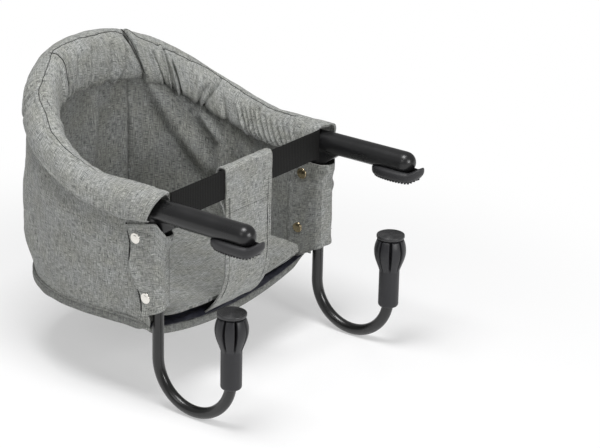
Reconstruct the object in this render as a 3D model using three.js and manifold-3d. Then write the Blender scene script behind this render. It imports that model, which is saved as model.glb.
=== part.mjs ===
// Clip-on table seat for a small child.
// Millimetres, +Z up, the child faces -Y and X runs from the near arm to the far arm.
// The origin is on the table top, midway between the two clamps.
import * as THREE from 'three';
import { mergeVertices } from 'three/addons/utils/BufferGeometryUtils.js';
import Module from 'manifold-3d';

const wasm = await Module();
wasm.setup();

// Driving dimensions of the steel side frames
const armSpacing = 360;
const halfSpan = armSpacing / 2;
const thickestTable = 85;
const clampTravel = 65;
const tubeGuide = 17;
const threadHold = 14;
const armHeight = 27;
const armOverhang = 35;
const frameSetback = 126;
const tubeRadius = 8;
const tubeWall = 1.5;
const tubeBore = tubeRadius - tubeWall;
const elbowRadius = 24;
const hookRadius = frameSetback / 2;

// Driving dimensions of the clamp
const capRadius = 20;
const capHeight = 6;
const capLip = 3;
const plateRadius = 17;
const plateThickness = 2.8;
const stemRadius = 5;
const stemLength = 9;
const sleeveRadius = 14.5;
const finRadius = 22.5;
const finTopRadius = 18;
const finLength = 50;
const finWidth = 8;
const finCount = 8;
const knobWeb = 10;
const sleeveChamfer = 3;
const spindleRadius = 4;
const nutLength = 18;
const tubeEndGap = 2;
const hookRise = 9.5;

// Driving dimensions of the arm and its rubber pad
const gripRadius = 15.5;
const coreEndGap = 25;
const gussetReach = 50;
const gussetDrop = 20.5;
const gussetWidth = 22;
const bossRadius = 12;
const padLength = 82;
const padWidth = 40;
const padHeight = 16;
const padLead = 14;
const padLipHeight = 25;
const padLipThickness = 9;
const padPegRadius = 4;
const padPegLength = 6;
const toothPitch = 8;
const toothDepth = 2.5;
const toothGap = 3;
const toothCount = 7;
const toothInset = 9;

// Driving dimensions of the pivot between a side frame and the seat hoop
const knuckleHeight = 36;
const knuckleWeb = 14;
const knuckleRiser = 7;
const riserTop = 8;
const plugLength = 26;
const collarHeight = 8;
const collarRadius = 11;
const rivetRadius = 2.5;
const rivetHeadRadius = 4.5;
const rivetHeadHeight = 1.5;
const rivetPlace = 14;

// Driving dimensions of the seat
const seatRun = 293;
const splayRun = 52;
const straightRun = 111;
const sideBulge = 4;
const planExponent = 2.3;
const seamHalfSpacing = 75;
const riseRun = 69;
const riseHeight = 115;
const seatDrop = 171;
const panelOffset = 12.4;
const fabricThickness = 1.6;
const panelRun = 12;
const clothFreeRun = 62;
const foldDepth = 3;
const foldCount = 9;
const hemTop = 27;
const hemOuterDrop = 16;
const hemInnerDrop = 22;
const hemBackDrop = 46;
const hemOuterBulge = 27;
const hemInnerBulge = 26;
const hemLegWidth = 18;
const hemArch = 10.5;
const hemShoulder = 19.5;
const hemLead = 16;
const hemFrontSlant = 18;

// Driving dimensions of the corner flaps and snap fasteners
const flapLead = 6;
const flapRun = 48;
const flapMidShare = 0.83;
const flapLowShare = 0.46;
const flapMidHeightShare = 0.51;
const flapWrapDrop = 3;
const flapFoot = 24;
const snapCapRadius = 8;
const snapCapHeight = 2.4;
const snapShankRadius = 2;
const snapFlangeRadius = 4.5;
const snapFlangeHeight = 1;
const upperSnapInset = 16.5;
const upperSnapDrop = 25.6;
const lowerSnapInset = 8;
const lowerSnapFoot = 23;
const upperStudInset = 22;
const upperStudDrop = 34.6;
const lowerStudInset = 16;
const lowerStudFoot = 12;

// Driving dimensions of the bottom, the pocket and the straps
const bellySag = 33;
const bellyRun = 24;
const bellyOverhang = 17;
const lipRise = 6;
const lipDepth = 18;
const seatTopFoot = 12;
const seatTopSag = 14;
const seatTopThickness = 8;
const seatTopRun = 15;
const seatTopInset = 16.4;
const seatTopNose = 2.5;
const seatTopLip = 3;
const seatTopLipDepth = 16;
const boardSideInset = 68;
const boardRun = 54;
const boardBackInset = 34;
const boardThickness = 2.5;
const pocketDepth = 120;
const pocketThickness = 0.8;
const pocketInset = 6;
const bindingHeight = 13;
const bindingThickness = 3;
const bindingLip = 1.5;
const waistLead = 8.5;
const waistHeight = 42;
const strapThickness = 2;
const crotchWidth = 100;
const crotchThickness = 2.4;
const crotchLoopDepth = 16;
const crotchStitchDrop = 44;
const crotchStitchSlope = 14;
const kneeRise = 45;
const bendDrop = 4;
const bendStep = 15;

// Clearances
const fit = 0.3;
const slack = 1;
const overrun = 5;

// Facets of round things
const roundSides = 16;
const fineSides = 24;
const tubeSides = 10;
const smallSides = 8;

// Levels that follow from the sizes above
const leafInner = panelOffset + fabricThickness + fit;
const leafOuter = leafInner + fabricThickness;
const discTop = -thickestTable;
const knobTop = discTop - capHeight - fit;
const webTop = knobTop - stemLength - fit;
const boreTop = webTop - knobWeb;
const tubeTop = boreTop - tubeEndGap;
const sleeveBottom = tubeTop - tubeGuide - clampTravel;
const spindleBottom = tubeTop - threadHold - clampTravel;
const hookCentre = sleeveBottom + hookRise;
const armBottom = armHeight - gripRadius;
const bossBottom = armBottom - gussetDrop;
const knuckleTop = bossBottom - fit;
const knuckleBottom = knuckleTop - knuckleHeight;
const collarTop = knuckleBottom - fit;
const riserFront = frameSetback + gripRadius + slack;
const hoopFront = riserFront + knuckleRiser + fit;

// Places that follow from the sizes above
const seatDepth = frameSetback + seatRun;
const splayStart = frameSetback + splayRun;
const sideStraightEnd = frameSetback + straightRun;
const riseStart = frameSetback + riseRun;
const hemFront = frameSetback - hemLead;
const panelFront = frameSetback + panelRun;
const clothFree = frameSetback + clothFreeRun;
const seatBottom = armHeight - seatDrop;
const seatTopHeight = seatBottom + seatTopFoot;
const seatTopFront = frameSetback + seatTopRun;
const bellyFront = frameSetback + bellyRun;
const bellyHalfWidth = halfSpan + bellyOverhang;
const boardHalfWidth = halfSpan - boardSideInset;
const boardFront = frameSetback + boardRun;
const boardBack = seatDepth - boardBackInset;
const waistPlace = frameSetback - waistLead;
const flapCentre = frameSetback - flapLead;
const flapReach = flapCentre + flapRun;
const flapMidReach = flapCentre + flapRun * flapMidShare;
const flapLowReach = flapCentre + flapRun * flapLowShare;
const flapTop = armHeight - hemOuterDrop - fit;
const flapWrapTop = bossBottom - flapWrapDrop;
const flapBottom = seatBottom + flapFoot;
const flapMidHeight = flapBottom + (flapTop - flapBottom) * flapMidHeightShare;

// Solid helpers: a closed geometry becomes a solid that can be joined and cut, and comes back
function solidOf(geometry) {
  const bare = geometry.clone();
  bare.deleteAttribute('normal');
  bare.deleteAttribute('uv');
  const merged = mergeVertices(bare, 1e-4);
  return new wasm.Manifold(new wasm.Mesh({
    numProp: 3,
    vertProperties: new Float32Array(merged.attributes.position.array),
    triVerts: new Uint32Array(merged.index.array),
  }));
}

function geometryOf(solid) {
  const mesh = solid.getMesh();
  const geometry = new THREE.BufferGeometry();
  const places = new Float32Array(mesh.numVert * 3);
  for (let i = 0; i < mesh.numVert; i += 1) {
    for (let k = 0; k < 3; k += 1) places[3 * i + k] = mesh.vertProperties[mesh.numProp * i + k];
  }
  geometry.setAttribute('position', new THREE.BufferAttribute(places, 3));
  geometry.setIndex(new THREE.BufferAttribute(new Uint32Array(mesh.triVerts), 1));
  geometry.computeVertexNormals();
  return geometry;
}

function join(...geometries) {
  return geometryOf(geometries.map(solidOf).reduce((whole, next) => whole.add(next)));
}

function cut(body, ...tools) {
  return geometryOf(tools.map(solidOf).reduce((left, tool) => left.subtract(tool), solidOf(body)));
}

// The far side of the seat is the near side seen in a mirror across X
function mirrored(geometry) {
  const copy = geometry.clone();
  copy.deleteAttribute('uv');
  const merged = mergeVertices(copy.deleteAttribute('normal'), 1e-4);
  merged.scale(-1, 1, 1);
  const index = merged.index.array;
  for (let i = 0; i < index.length; i += 3) {
    const first = index[i];
    index[i] = index[i + 1];
    index[i + 1] = first;
  }
  merged.computeVertexNormals();
  return merged;
}

function block(low, high) {
  const geometry = new THREE.BoxGeometry(high[0] - low[0], high[1] - low[1], high[2] - low[2]);
  geometry.translate((low[0] + high[0]) / 2, (low[1] + high[1]) / 2, (low[2] + high[2]) / 2);
  return geometry;
}

// A turned piece: pairs of radius and height, from the axis back to the axis, about a vertical line
function turned(pairs, sides = roundSides) {
  const geometry = new THREE.LatheGeometry(pairs.map(([r, z]) => new THREE.Vector2(r, z)), sides);
  geometry.rotateX(Math.PI / 2);
  return geometry;
}

function rod(radius, bottom, top, sides = roundSides) {
  return turned([[0, bottom], [radius, bottom], [radius, top], [0, top]], sides);
}

// Triangles that close a flat outline, in the outline's own direction
function capOf(outline) {
  const turn = Math.sign(THREE.ShapeUtils.area(outline));
  return THREE.ShapeUtils.triangulateShape(outline, []).map(([a, b, c]) => {
    const area = THREE.ShapeUtils.area([outline[a], outline[b], outline[c]]);
    return Math.sign(area) === turn ? [a, b, c] : [a, c, b];
  });
}

// A closed surface through rings of points, with a flat cap on its first and last ring
function loft(rings, cap) {
  const count = rings[0].length;
  const points = rings.flat();
  const faces = [];
  for (let r = 0; r + 1 < rings.length; r += 1) {
    for (let k = 0; k < count; k += 1) {
      const a = r * count + k;
      const b = r * count + ((k + 1) % count);
      faces.push([a, b, b + count], [a, b + count, a + count]);
    }
  }
  const last = (rings.length - 1) * count;
  for (const [a, b, c] of cap) {
    faces.push([a, c, b], [last + a, last + b, last + c]);
  }
  let volume = 0;
  for (const [a, b, c] of faces) {
    volume += points[a].dot(new THREE.Vector3().crossVectors(points[b], points[c]));
  }
  const index = faces.flatMap(([a, b, c]) => (volume > 0 ? [a, b, c] : [a, c, b]));
  const geometry = new THREE.BufferGeometry().setFromPoints(points);
  geometry.setIndex(index);
  geometry.computeVertexNormals();
  return geometry;
}

// A path of straight and curved runs, each walked in its own number of steps
class RunCurve extends THREE.Curve {
  constructor(runs) {
    super();
    this.places = [];
    runs.forEach(([curve, steps], i) => {
      for (let k = i === 0 ? 0 : 1; k <= steps; k += 1) {
        this.places.push([curve.getPoint(k / steps), curve.getTangent(k / steps)]);
      }
    });
    this.steps = this.places.length - 1;
  }

  at(u) {
    return this.places[Math.round(u * this.steps)];
  }

  getPointAt(u) {
    return this.at(u)[0].clone();
  }

  getTangentAt(u) {
    return this.at(u)[1].clone().normalize();
  }

  getSpacedPoints() {
    return this.places.map(([point]) => point.clone());
  }
}

function circleShape(radius, hole, sides = tubeSides) {
  const ring = (r) => Array.from({ length: sides }, (_, k) => {
    const angle = (2 * Math.PI * k) / sides;
    return new THREE.Vector2(r * Math.cos(angle), r * Math.sin(angle));
  });
  const shape = new THREE.Shape(ring(radius));
  if (hole) shape.holes.push(new THREE.Path(ring(hole).reverse()));
  return shape;
}

function alongPath(path, radius, hole, sides) {
  return new THREE.ExtrudeGeometry(circleShape(radius, hole, sides), {
    steps: path.steps,
    extrudePath: path,
  });
}

// An outline in the plane across X, given as pairs of depth and height, pushed out along X
function acrossX(pairs, left, right, holePairs) {
  const shape = new THREE.Shape(pairs.map(([y, z]) => new THREE.Vector2(y, z)));
  if (holePairs) {
    const hole = holePairs.map(([y, z]) => new THREE.Vector2(y, z));
    shape.holes.push(new THREE.Path(hole.reverse()));
  }
  const geometry = new THREE.ExtrudeGeometry(shape, { depth: right - left, bevelEnabled: false });
  geometry.applyMatrix4(new THREE.Matrix4().set(0, 0, 1, left, 1, 0, 0, 0, 0, 1, 0, 0, 0, 0, 0, 1));
  return geometry;
}

// Plan of the hoop: straight sides that run into a rounded back
function planPlace(angle) {
  const back = seatDepth - sideStraightEnd;
  const across = Math.abs(Math.cos(angle)) ** (2 / planExponent);
  const deep = Math.abs(Math.sin(angle)) ** (2 / planExponent);
  return new THREE.Vector2(
    -Math.sign(Math.cos(angle)) * (halfSpan + sideBulge) * across,
    sideStraightEnd + back * deep,
  );
}

function splay(depth) {
  return Math.max((depth - splayStart) / (sideStraightEnd - splayStart), 0);
}

function sidePlace(depth) {
  return new THREE.Vector2(-halfSpan - sideBulge * splay(depth), depth);
}

const seamAngle = (half) => Math.acos((half / (halfSpan + sideBulge)) ** (planExponent / 2));

function rise(depth) {
  const share = Math.max((depth - riseStart) / (seatDepth - riseStart), 0);
  return riseHeight * share * share;
}

// Stations along the plan, each with its place, its outward direction and the slope of the rim
const sideSteps = 5;
const cornerSteps = 9;
const backSteps = 6;

function withFrames(places) {
  return places.map((place, i) => {
    const before = places[Math.max(i - 1, 0)];
    const after = places[Math.min(i + 1, places.length - 1)];
    const run = after.clone().sub(before);
    const out = new THREE.Vector2(-run.y, run.x).normalize();
    const slope = (rise(after.y) - rise(before.y)) / run.length();
    return { place, out, height: armHeight + rise(place.y), stretch: Math.hypot(1, slope) };
  });
}

function planPlaces(front) {
  const places = [];
  for (let k = 0; k < sideSteps; k += 1) {
    places.push(sidePlace(front + ((sideStraightEnd - front) * k) / sideSteps));
  }
  const seam = seamAngle(seamHalfSpacing);
  for (let k = 0; k <= cornerSteps; k += 1) {
    places.push(planPlace((seam * k) / cornerSteps));
  }
  for (let k = 1; k <= backSteps / 2; k += 1) {
    places.push(planPlace(seam + ((Math.PI / 2 - seam) * k) / (backSteps / 2)));
  }
  const other = places.slice(0, -1).reverse().map(({ x, y }) => new THREE.Vector2(-x, y));
  return [...places, ...other];
}

function wholeStations(front) {
  return withFrames(planPlaces(front));
}

// Parts of the whole run, shortened by half a fit where two pieces meet at a back seam
const seamStation = sideSteps + cornerSteps;

function shortened(stations, atStart, atEnd) {
  const copy = stations.map((station) => ({ ...station, place: station.place.clone() }));
  const pull = (from, towards) => {
    const step = towards.place.clone().sub(from.place).setLength(fit / 2);
    from.place.add(step);
  };
  if (atStart) pull(copy[0], copy[1]);
  if (atEnd) pull(copy[copy.length - 1], copy[copy.length - 2]);
  return copy;
}

function sideStations(front) {
  return shortened(wholeStations(front).slice(0, seamStation + 1), false, true);
}

function backStations(front) {
  const whole = wholeStations(front);
  return shortened(whole.slice(seamStation, whole.length - seamStation), true, true);
}

// A loft whose section, in outward and upward distances, is given at each station
function alongPlan(stations, sectionAt) {
  const sections = stations.map(sectionAt);
  const rings = stations.map(({ place, out }, i) => sections[i].map(
    ([u, z]) => new THREE.Vector3(place.x + out.x * u, place.y + out.y * u, z),
  ));
  return loft(rings, capOf(sections[0].map(([u, z]) => new THREE.Vector2(u, z))));
}

// Seat hoop: one bent tube that carries the fabric from arm to arm
function hoopTube() {
  const places = wholeStations(hoopFront).map(
    ({ place, height }) => new THREE.Vector3(place.x, place.y, height),
  );
  const smooth = new THREE.CatmullRomCurve3(places, false, 'centripetal');
  const path = new RunCurve([[smooth, places.length - 1]]);
  const tube = alongPath(path, tubeRadius, tubeBore, smallSides);
  const hole = rivetRadius + fit;
  const drill = (x) => {
    const bit = rod(hole, armHeight - tubeRadius - overrun, armHeight + tubeRadius + overrun, smallSides);
    return bit.translate(x, hoopFront + rivetPlace, 0);
  };
  return cut(tube, drill(-halfSpan), drill(halfSpan));
}

// Side frame tube: arm core, elbow, upright and the hook under the table
function sideTubePath(startAt, endAt) {
  const x = -halfSpan;
  const elbowCentre = new THREE.Vector3(x, frameSetback - elbowRadius, armHeight - elbowRadius);
  const arc = (centre, radius, from, to) => {
    const curve = new THREE.Curve();
    const place = (t) => {
      const angle = from + (to - from) * t;
      return [Math.cos(angle) * radius, Math.sin(angle) * radius, angle];
    };
    curve.getPoint = (t) => {
      const [y, z] = place(t);
      return new THREE.Vector3(centre.x, centre.y + y, centre.z + z);
    };
    curve.getTangent = (t) => {
      const turn = Math.sign(to - from);
      const angle = place(t)[2];
      return new THREE.Vector3(0, -Math.sin(angle) * turn, Math.cos(angle) * turn);
    };
    return curve;
  };
  const straight = (a, b) => new THREE.LineCurve3(a, b);
  const at = (y, z) => new THREE.Vector3(x, y, z);
  const hookMiddle = new THREE.Vector3(x, hookRadius, hookCentre);
  const elbowSteps = 5;
  const hookSteps = 14;
  return new RunCurve([
    [straight(at(startAt, armHeight), at(elbowCentre.y, armHeight)), 1],
    [arc(elbowCentre, elbowRadius, Math.PI / 2, 0), elbowSteps],
    [straight(at(frameSetback, elbowCentre.z), at(frameSetback, hookCentre)), 1],
    [arc(hookMiddle, hookRadius, 0, -Math.PI), hookSteps],
    [straight(at(0, hookCentre), at(0, endAt)), 1],
  ]);
}

function sideTube() {
  return alongPath(sideTubePath(-armOverhang + coreEndGap, tubeTop), tubeRadius, tubeBore);
}

// Arm grip: a round-ended moulding over the arm core, with a web down its short boss
function gripBody(grow) {
  const radius = gripRadius + grow;
  const turns = 5;
  const pairs = [];
  const front = -armOverhang + gripRadius;
  for (let k = 0; k <= turns; k += 1) {
    const angle = (Math.PI / 2) * (k / turns);
    pairs.push([radius * Math.sin(angle), front - radius * Math.cos(angle)]);
  }
  for (let k = 0; k <= turns; k += 1) {
    const angle = (Math.PI / 2) * (k / turns);
    pairs.push([radius * Math.cos(angle), frameSetback + radius * Math.sin(angle)]);
  }
  pairs[0][0] = 0;
  pairs[pairs.length - 1][0] = 0;
  const body = turned(pairs, fineSides);
  body.rotateX(-Math.PI / 2);
  return body.translate(-halfSpan, 0, armHeight);
}

function armGrip() {
  const middle = gripBody(0);
  const gusset = acrossX([
    [frameSetback - gussetReach, armBottom + slack],
    [frameSetback - gussetReach, armBottom],
    [frameSetback - bossRadius, bossBottom],
    [frameSetback, bossBottom],
    [frameSetback, armHeight],
    [frameSetback - gussetReach, armHeight],
  ], -halfSpan - gussetWidth / 2, -halfSpan + gussetWidth / 2);
  const boss = rod(bossRadius, bossBottom, armHeight).translate(-halfSpan, frameSetback, 0);
  const core = alongPath(
    sideTubePath(-armOverhang + coreEndGap - fit, tubeTop),
    tubeRadius + fit,
  );
  const pegHole = rod(padPegRadius + fit, armBottom - overrun, armBottom + padPegLength + fit);
  return cut(join(middle, gusset, boss), core, pegHole.translate(-halfSpan, 0, 0));
}

// Rubber pad: an oval shoe that grips the table, with a lip up the front of the arm
function tablePad() {
  const back = padLength - armOverhang - padLead;
  const front = -armOverhang - padLead;
  const radius = padWidth / 2;
  const shape = new THREE.Shape();
  shape.absarc(0, front + radius, radius, Math.PI, 2 * Math.PI, false);
  shape.absarc(0, back - radius, radius, 0, Math.PI, false);
  const oval = (height) => new THREE.ExtrudeGeometry(shape, {
    depth: height,
    bevelEnabled: false,
    curveSegments: 10,
  }).translate(-halfSpan, 0, 0);
  const base = oval(padHeight);
  const lip = geometryOf(solidOf(oval(padLipHeight)).intersect(solidOf(block(
    [-halfSpan - radius, front - overrun, 0],
    [-halfSpan + radius, front + padLipThickness, padLipHeight],
  ))));
  const peg = rod(padPegRadius, armBottom - overrun, armBottom + padPegLength);
  peg.translate(-halfSpan, 0, 0);
  const shoe = cut(join(base, lip), gripBody(fit));
  const teeth = [];
  for (let k = 0; k < toothCount; k += 1) {
    const y = (front + back) / 2 + (k - (toothCount - 1) / 2) * toothPitch;
    for (const side of [-1, 1]) {
      const inner = side * toothInset;
      const outer = side * (radius + overrun);
      teeth.push(block(
        [-halfSpan + Math.min(inner, outer), y - toothGap / 2, -overrun],
        [-halfSpan + Math.max(inner, outer), y + toothGap / 2, toothDepth],
      ));
    }
  }
  return join(cut(shoe, ...teeth), peg);
}

// Clamp pieces about the upright clamp axis
function clampPlace(geometry) {
  return geometry.translate(-halfSpan, 0, 0);
}

function tubeNut() {
  const nut = rod(tubeBore - 2 * fit, tubeTop - nutLength, tubeTop);
  const thread = rod(spindleRadius + fit, tubeTop - nutLength - overrun, tubeTop + overrun);
  return clampPlace(cut(nut, thread));
}

function rubberCap() {
  const bottom = discTop - capHeight;
  return clampPlace(turned([
    [0, discTop - capLip],
    [plateRadius + fit, discTop - capLip],
    [plateRadius + fit, bottom],
    [capRadius - slack, bottom],
    [capRadius, bottom + slack],
    [capRadius, discTop - slack],
    [capRadius - slack, discTop],
    [0, discTop],
  ], fineSides));
}

function pressurePlate() {
  const top = discTop - capLip - fit;
  const bottom = top - plateThickness;
  return clampPlace(turned([
    [0, knobTop - stemLength],
    [stemRadius, knobTop - stemLength],
    [stemRadius, bottom],
    [plateRadius, bottom],
    [plateRadius, top],
    [0, top],
  ], fineSides));
}

function clampKnob() {
  const sleeve = turned([
    [0, sleeveBottom],
    [sleeveRadius - sleeveChamfer, sleeveBottom],
    [sleeveRadius, sleeveBottom + sleeveChamfer],
    [sleeveRadius, knobTop],
    [0, knobTop],
  ], fineSides);
  const finSteps = 6;
  const finInner = sleeveRadius - finWidth / 2;
  const finShape = [[finInner, knobTop], [finInner, knobTop - finLength]];
  for (let k = 0; k <= finSteps; k += 1) {
    const share = k / finSteps;
    const end = finTopRadius * share + sleeveRadius * (1 - share);
    const crown = finRadius - (finTopRadius + sleeveRadius) / 2;
    finShape.push([end + crown * Math.sin(Math.PI * share), knobTop - finLength * (1 - share)]);
  }
  const fins = [];
  for (let k = 0; k < finCount; k += 1) {
    const fin = acrossX(finShape, -finWidth / 2, finWidth / 2);
    fins.push(fin.rotateZ((2 * Math.PI * k) / finCount));
  }
  const bore = rod(tubeRadius + 2 * fit, sleeveBottom - overrun, boreTop);
  const mouth = rod(tubeRadius + 2 * fit + slack, sleeveBottom - overrun, hookCentre + slack);
  const screw = rod(spindleRadius + fit, boreTop - overrun, knobTop + overrun);
  const socket = rod(stemRadius + fit, webTop, knobTop + overrun);
  return clampPlace(cut(join(sleeve, ...fins), bore, mouth, screw, socket));
}

function spindle() {
  return clampPlace(rod(spindleRadius, spindleBottom, webTop - fit));
}

// Pivot pieces that let a side frame swing on the end of the hoop
function knuckle() {
  const x = -halfSpan;
  const half = knuckleWeb / 2;
  const bush = rod(bossRadius, knuckleBottom, knuckleTop).translate(x, frameSetback, 0);
  const web = block([x - half, frameSetback, knuckleBottom], [x + half, riserFront + slack, knuckleTop]);
  const riser = block(
    [x - half, riserFront, knuckleBottom],
    [x + half, riserFront + knuckleRiser, armHeight + riserTop],
  );
  const plug = rod(tubeBore - 3 * fit, 0, plugLength + slack).rotateX(-Math.PI / 2);
  plug.translate(x, riserFront + knuckleRiser - slack, armHeight);
  const bore = rod(tubeRadius + fit, knuckleBottom - overrun, knuckleTop + overrun);
  const hole = rod(rivetRadius + fit, armHeight - tubeRadius, armHeight + tubeRadius, smallSides);
  return cut(
    join(bush, web, riser, plug),
    bore.translate(x, frameSetback, 0),
    hole.translate(x, hoopFront + rivetPlace, 0),
  );
}

function stopCollar() {
  const ring = rod(collarRadius, collarTop - collarHeight, collarTop);
  const bore = rod(tubeRadius + fit, collarTop - collarHeight - overrun, collarTop + overrun);
  return cut(ring, bore).translate(-halfSpan, frameSetback, 0);
}

function hoopRivet() {
  const reach = tubeRadius + fit;
  return turned([
    [0, armHeight - reach - rivetHeadHeight],
    [rivetHeadRadius, armHeight - reach - rivetHeadHeight],
    [rivetHeadRadius, armHeight - reach],
    [rivetRadius, armHeight - reach],
    [rivetRadius, armHeight + reach],
    [rivetHeadRadius, armHeight + reach],
    [rivetHeadRadius, armHeight + reach + rivetHeadHeight],
    [0, armHeight + reach + rivetHeadHeight],
  ], smallSides).translate(-halfSpan, hoopFront + rivetPlace, 0);
}

// How far the hem's inner side hangs below the hoop: it grows towards the middle of the back
function innerDropAt(place) {
  const share = Math.max((place.y - sideStraightEnd) / (seatDepth - sideStraightEnd), 0);
  return hemInnerDrop + (hemBackDrop - hemInnerDrop) * share ** 3;
}

const outerDropAt = () => hemOuterDrop;

// Padded hem: an upturned U of wadding and cloth that hangs over the hoop
function hemSection({ height, stretch, place }) {
  const level = (v) => height + v * stretch;
  const innerDrop = innerDropAt(place);
  const outside = [
    [panelOffset, -hemOuterDrop],
    [hemLegWidth, -hemOuterDrop],
    [hemOuterBulge, -hemOuterDrop / 2],
    [hemOuterBulge, 0],
    [hemShoulder, hemShoulder],
    [0, hemTop],
    [-hemShoulder, hemShoulder],
    [-hemInnerBulge, 0],
    [-hemInnerBulge, -innerDrop / 2],
    [-hemLegWidth, -innerDrop],
    [-panelOffset, -innerDrop],
  ];
  const inside = [
    [-hemArch, 0],
    [-hemArch, hemArch],
    [hemArch, hemArch],
    [hemArch, 0],
  ];
  return [...outside, ...inside].map(([u, v]) => [u, level(v)]);
}

function sideHem() {
  const body = alongPlan(sideStations(hemFront), hemSection);
  const armRoom = gripRadius + slack;
  const armCut = block(
    [-halfSpan - armRoom, hemFront - overrun, armHeight - hemInnerDrop - overrun],
    [0, riserFront + slack, armHeight + armRoom],
  );
  const strapCut = block(
    [-halfSpan + gripRadius - slack, hemFront - overrun, armHeight],
    [0, riserFront + slack, armHeight + waistHeight / 2 + slack],
  );
  const slant = acrossX([
    [hemFront - overrun, armHeight + hemTop + overrun],
    [hemFront, armHeight + hemTop],
    [hemFront + hemFrontSlant, armHeight - hemOuterDrop],
    [hemFront + hemFrontSlant, armHeight - hemOuterDrop - overrun],
    [hemFront - overrun, armHeight - hemOuterDrop - overrun],
  ], -halfSpan - hemOuterBulge - overrun, -halfSpan + hemOuterBulge + overrun);
  return cut(body, armCut, strapCut, slant);
}

function backHem() {
  return alongPlan(backStations(hemFront), hemSection);
}

// Outer panels: taut cloth from the hem to the bottom edge
const panelShares = [0, 0.12, 0.34, 0.56, 0.78, 1];

function panelSection(side, dropAt, fullness) {
  return ({ height, stretch, place }) => {
    const top = height - dropAt(place) * stretch - fit;
    const [, footShare] = panelShares;
    const face = (offset) => panelShares.map((share) => {
      const free = Math.max((share - footShare) / (1 - footShare), 0);
      const swell = foldDepth * Math.sin(Math.PI * free) * fullness(place);
      return [side * (offset + swell), seatBottom + (top - seatBottom) * share];
    });
    return [...face(panelOffset), ...face(panelOffset + fabricThickness).reverse()];
  };
}

const taut = (place) => (place.y > clothFree ? 1 : 0);
const folded = (place) => {
  const around = Math.atan2(place.y - sideStraightEnd, place.x);
  return place.y > clothFree ? Math.cos(around * foldCount) : 0;
};

// Snap fasteners: places of the caps on the outside and on the inside of a corner flap
const snapPlaces = {
  outer: {
    side: -1,
    upper: [flapReach - upperSnapInset, flapTop - upperSnapDrop],
    lower: [flapLowReach - lowerSnapInset, flapBottom + lowerSnapFoot],
  },
  inner: {
    side: 1,
    upper: [flapReach - upperStudInset, flapTop - upperStudDrop],
    lower: [flapReach - lowerStudInset, flapBottom + lowerStudFoot],
  },
};

function placeSnap(geometry, side, [depth, height]) {
  return geometry.rotateY((side * Math.PI) / 2).translate(-halfSpan, depth, height);
}

function snapHoles({ side, upper, lower }) {
  return [upper, lower].map((place) => placeSnap(
    rod(snapShankRadius + fit, tubeRadius, leafOuter + overrun, smallSides),
    side,
    place,
  ));
}

function snap(side, place) {
  const flangeTop = panelOffset - fit;
  const capBottom = leafOuter + fit;
  const capTop = capBottom + snapCapHeight;
  return placeSnap(turned([
    [0, flangeTop - snapFlangeHeight],
    [snapFlangeRadius, flangeTop - snapFlangeHeight],
    [snapFlangeRadius, flangeTop],
    [snapShankRadius, flangeTop],
    [snapShankRadius, capBottom],
    [snapCapRadius, capBottom],
    [snapCapRadius * Math.cos(Math.PI / 6), capBottom + snapCapHeight / 2],
    [snapCapRadius / 2, capTop],
    [0, capTop],
  ], tubeSides), side, place);
}

function outerSide() {
  const cloth = alongPlan(sideStations(panelFront), panelSection(1, outerDropAt, taut));
  return cut(cloth, ...snapHoles(snapPlaces.outer));
}

function outerBack() {
  return alongPlan(backStations(panelFront), panelSection(1, outerDropAt, taut));
}

function liningSide() {
  const cloth = alongPlan(sideStations(panelFront), panelSection(-1, innerDropAt, folded));
  return cut(cloth, ...snapHoles(snapPlaces.inner));
}

function liningBack() {
  return alongPlan(backStations(panelFront), panelSection(-1, innerDropAt, folded));
}

// Corner flap: cloth that wraps the upright and is snapped to both faces of the side panel.
// Its outer leaf is cut back on a slant, its inner leaf runs straight down.
function cornerFlap() {
  const shape = new THREE.Shape();
  shape.moveTo(-leafOuter, flapReach);
  shape.lineTo(-leafOuter, flapCentre);
  shape.absarc(0, flapCentre, leafOuter, Math.PI, 2 * Math.PI, false);
  shape.lineTo(leafOuter, flapReach);
  shape.lineTo(leafInner, flapReach);
  shape.lineTo(leafInner, flapCentre);
  shape.absarc(0, flapCentre, leafInner, 2 * Math.PI, Math.PI, true);
  shape.lineTo(-leafInner, flapReach);
  const wrap = new THREE.ExtrudeGeometry(shape, {
    depth: flapTop - flapBottom,
    bevelEnabled: false,
    curveSegments: 12,
  }).translate(-halfSpan, 0, flapBottom);
  const behind = flapReach + overrun;
  const trimmed = acrossX([
    [flapLowReach, flapBottom - overrun],
    [flapLowReach, flapBottom],
    [flapMidReach, flapMidHeight],
    [flapReach, flapTop],
    [behind, flapTop + overrun],
    [behind, flapBottom - overrun],
  ], -halfSpan - leafOuter - overrun, -halfSpan);
  const frontRoom = block(
    [-halfSpan - leafInner, flapCentre - leafOuter - overrun, flapWrapTop],
    [-halfSpan + leafOuter + overrun, flapReach + overrun, flapTop + overrun],
  );
  return cut(
    wrap,
    trimmed,
    frontRoom,
    ...snapHoles(snapPlaces.outer),
    ...snapHoles(snapPlaces.inner),
  );
}

// A sheet or pad across the seat: rows from front to back, each bounded by the side walls
const columns = 10;

function evenRows(front, back, rows) {
  return Array.from({ length: rows + 1 }, (_, r) => front + ((back - front) * r) / rows);
}

function sheetAcross(depths, halfWidthAt, topAt, thickness) {
  const rings = depths.map((y) => {
    const half = halfWidthAt(y);
    const line = Array.from({ length: columns + 1 }, (__, k) => {
      const x = half * ((2 * k) / columns - 1);
      return new THREE.Vector3(x, y, topAt(x, y));
    });
    const under = line.map((p) => new THREE.Vector3(p.x, p.y, p.z - thickness)).reverse();
    return [...line, ...under];
  });
  const cap = [];
  const last = 2 * columns + 1;
  for (let k = 0; k < columns; k += 1) {
    cap.push([k, k + 1, last - k - 1], [k, last - k - 1, last - k]);
  }
  return loft(rings, cap);
}

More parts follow.
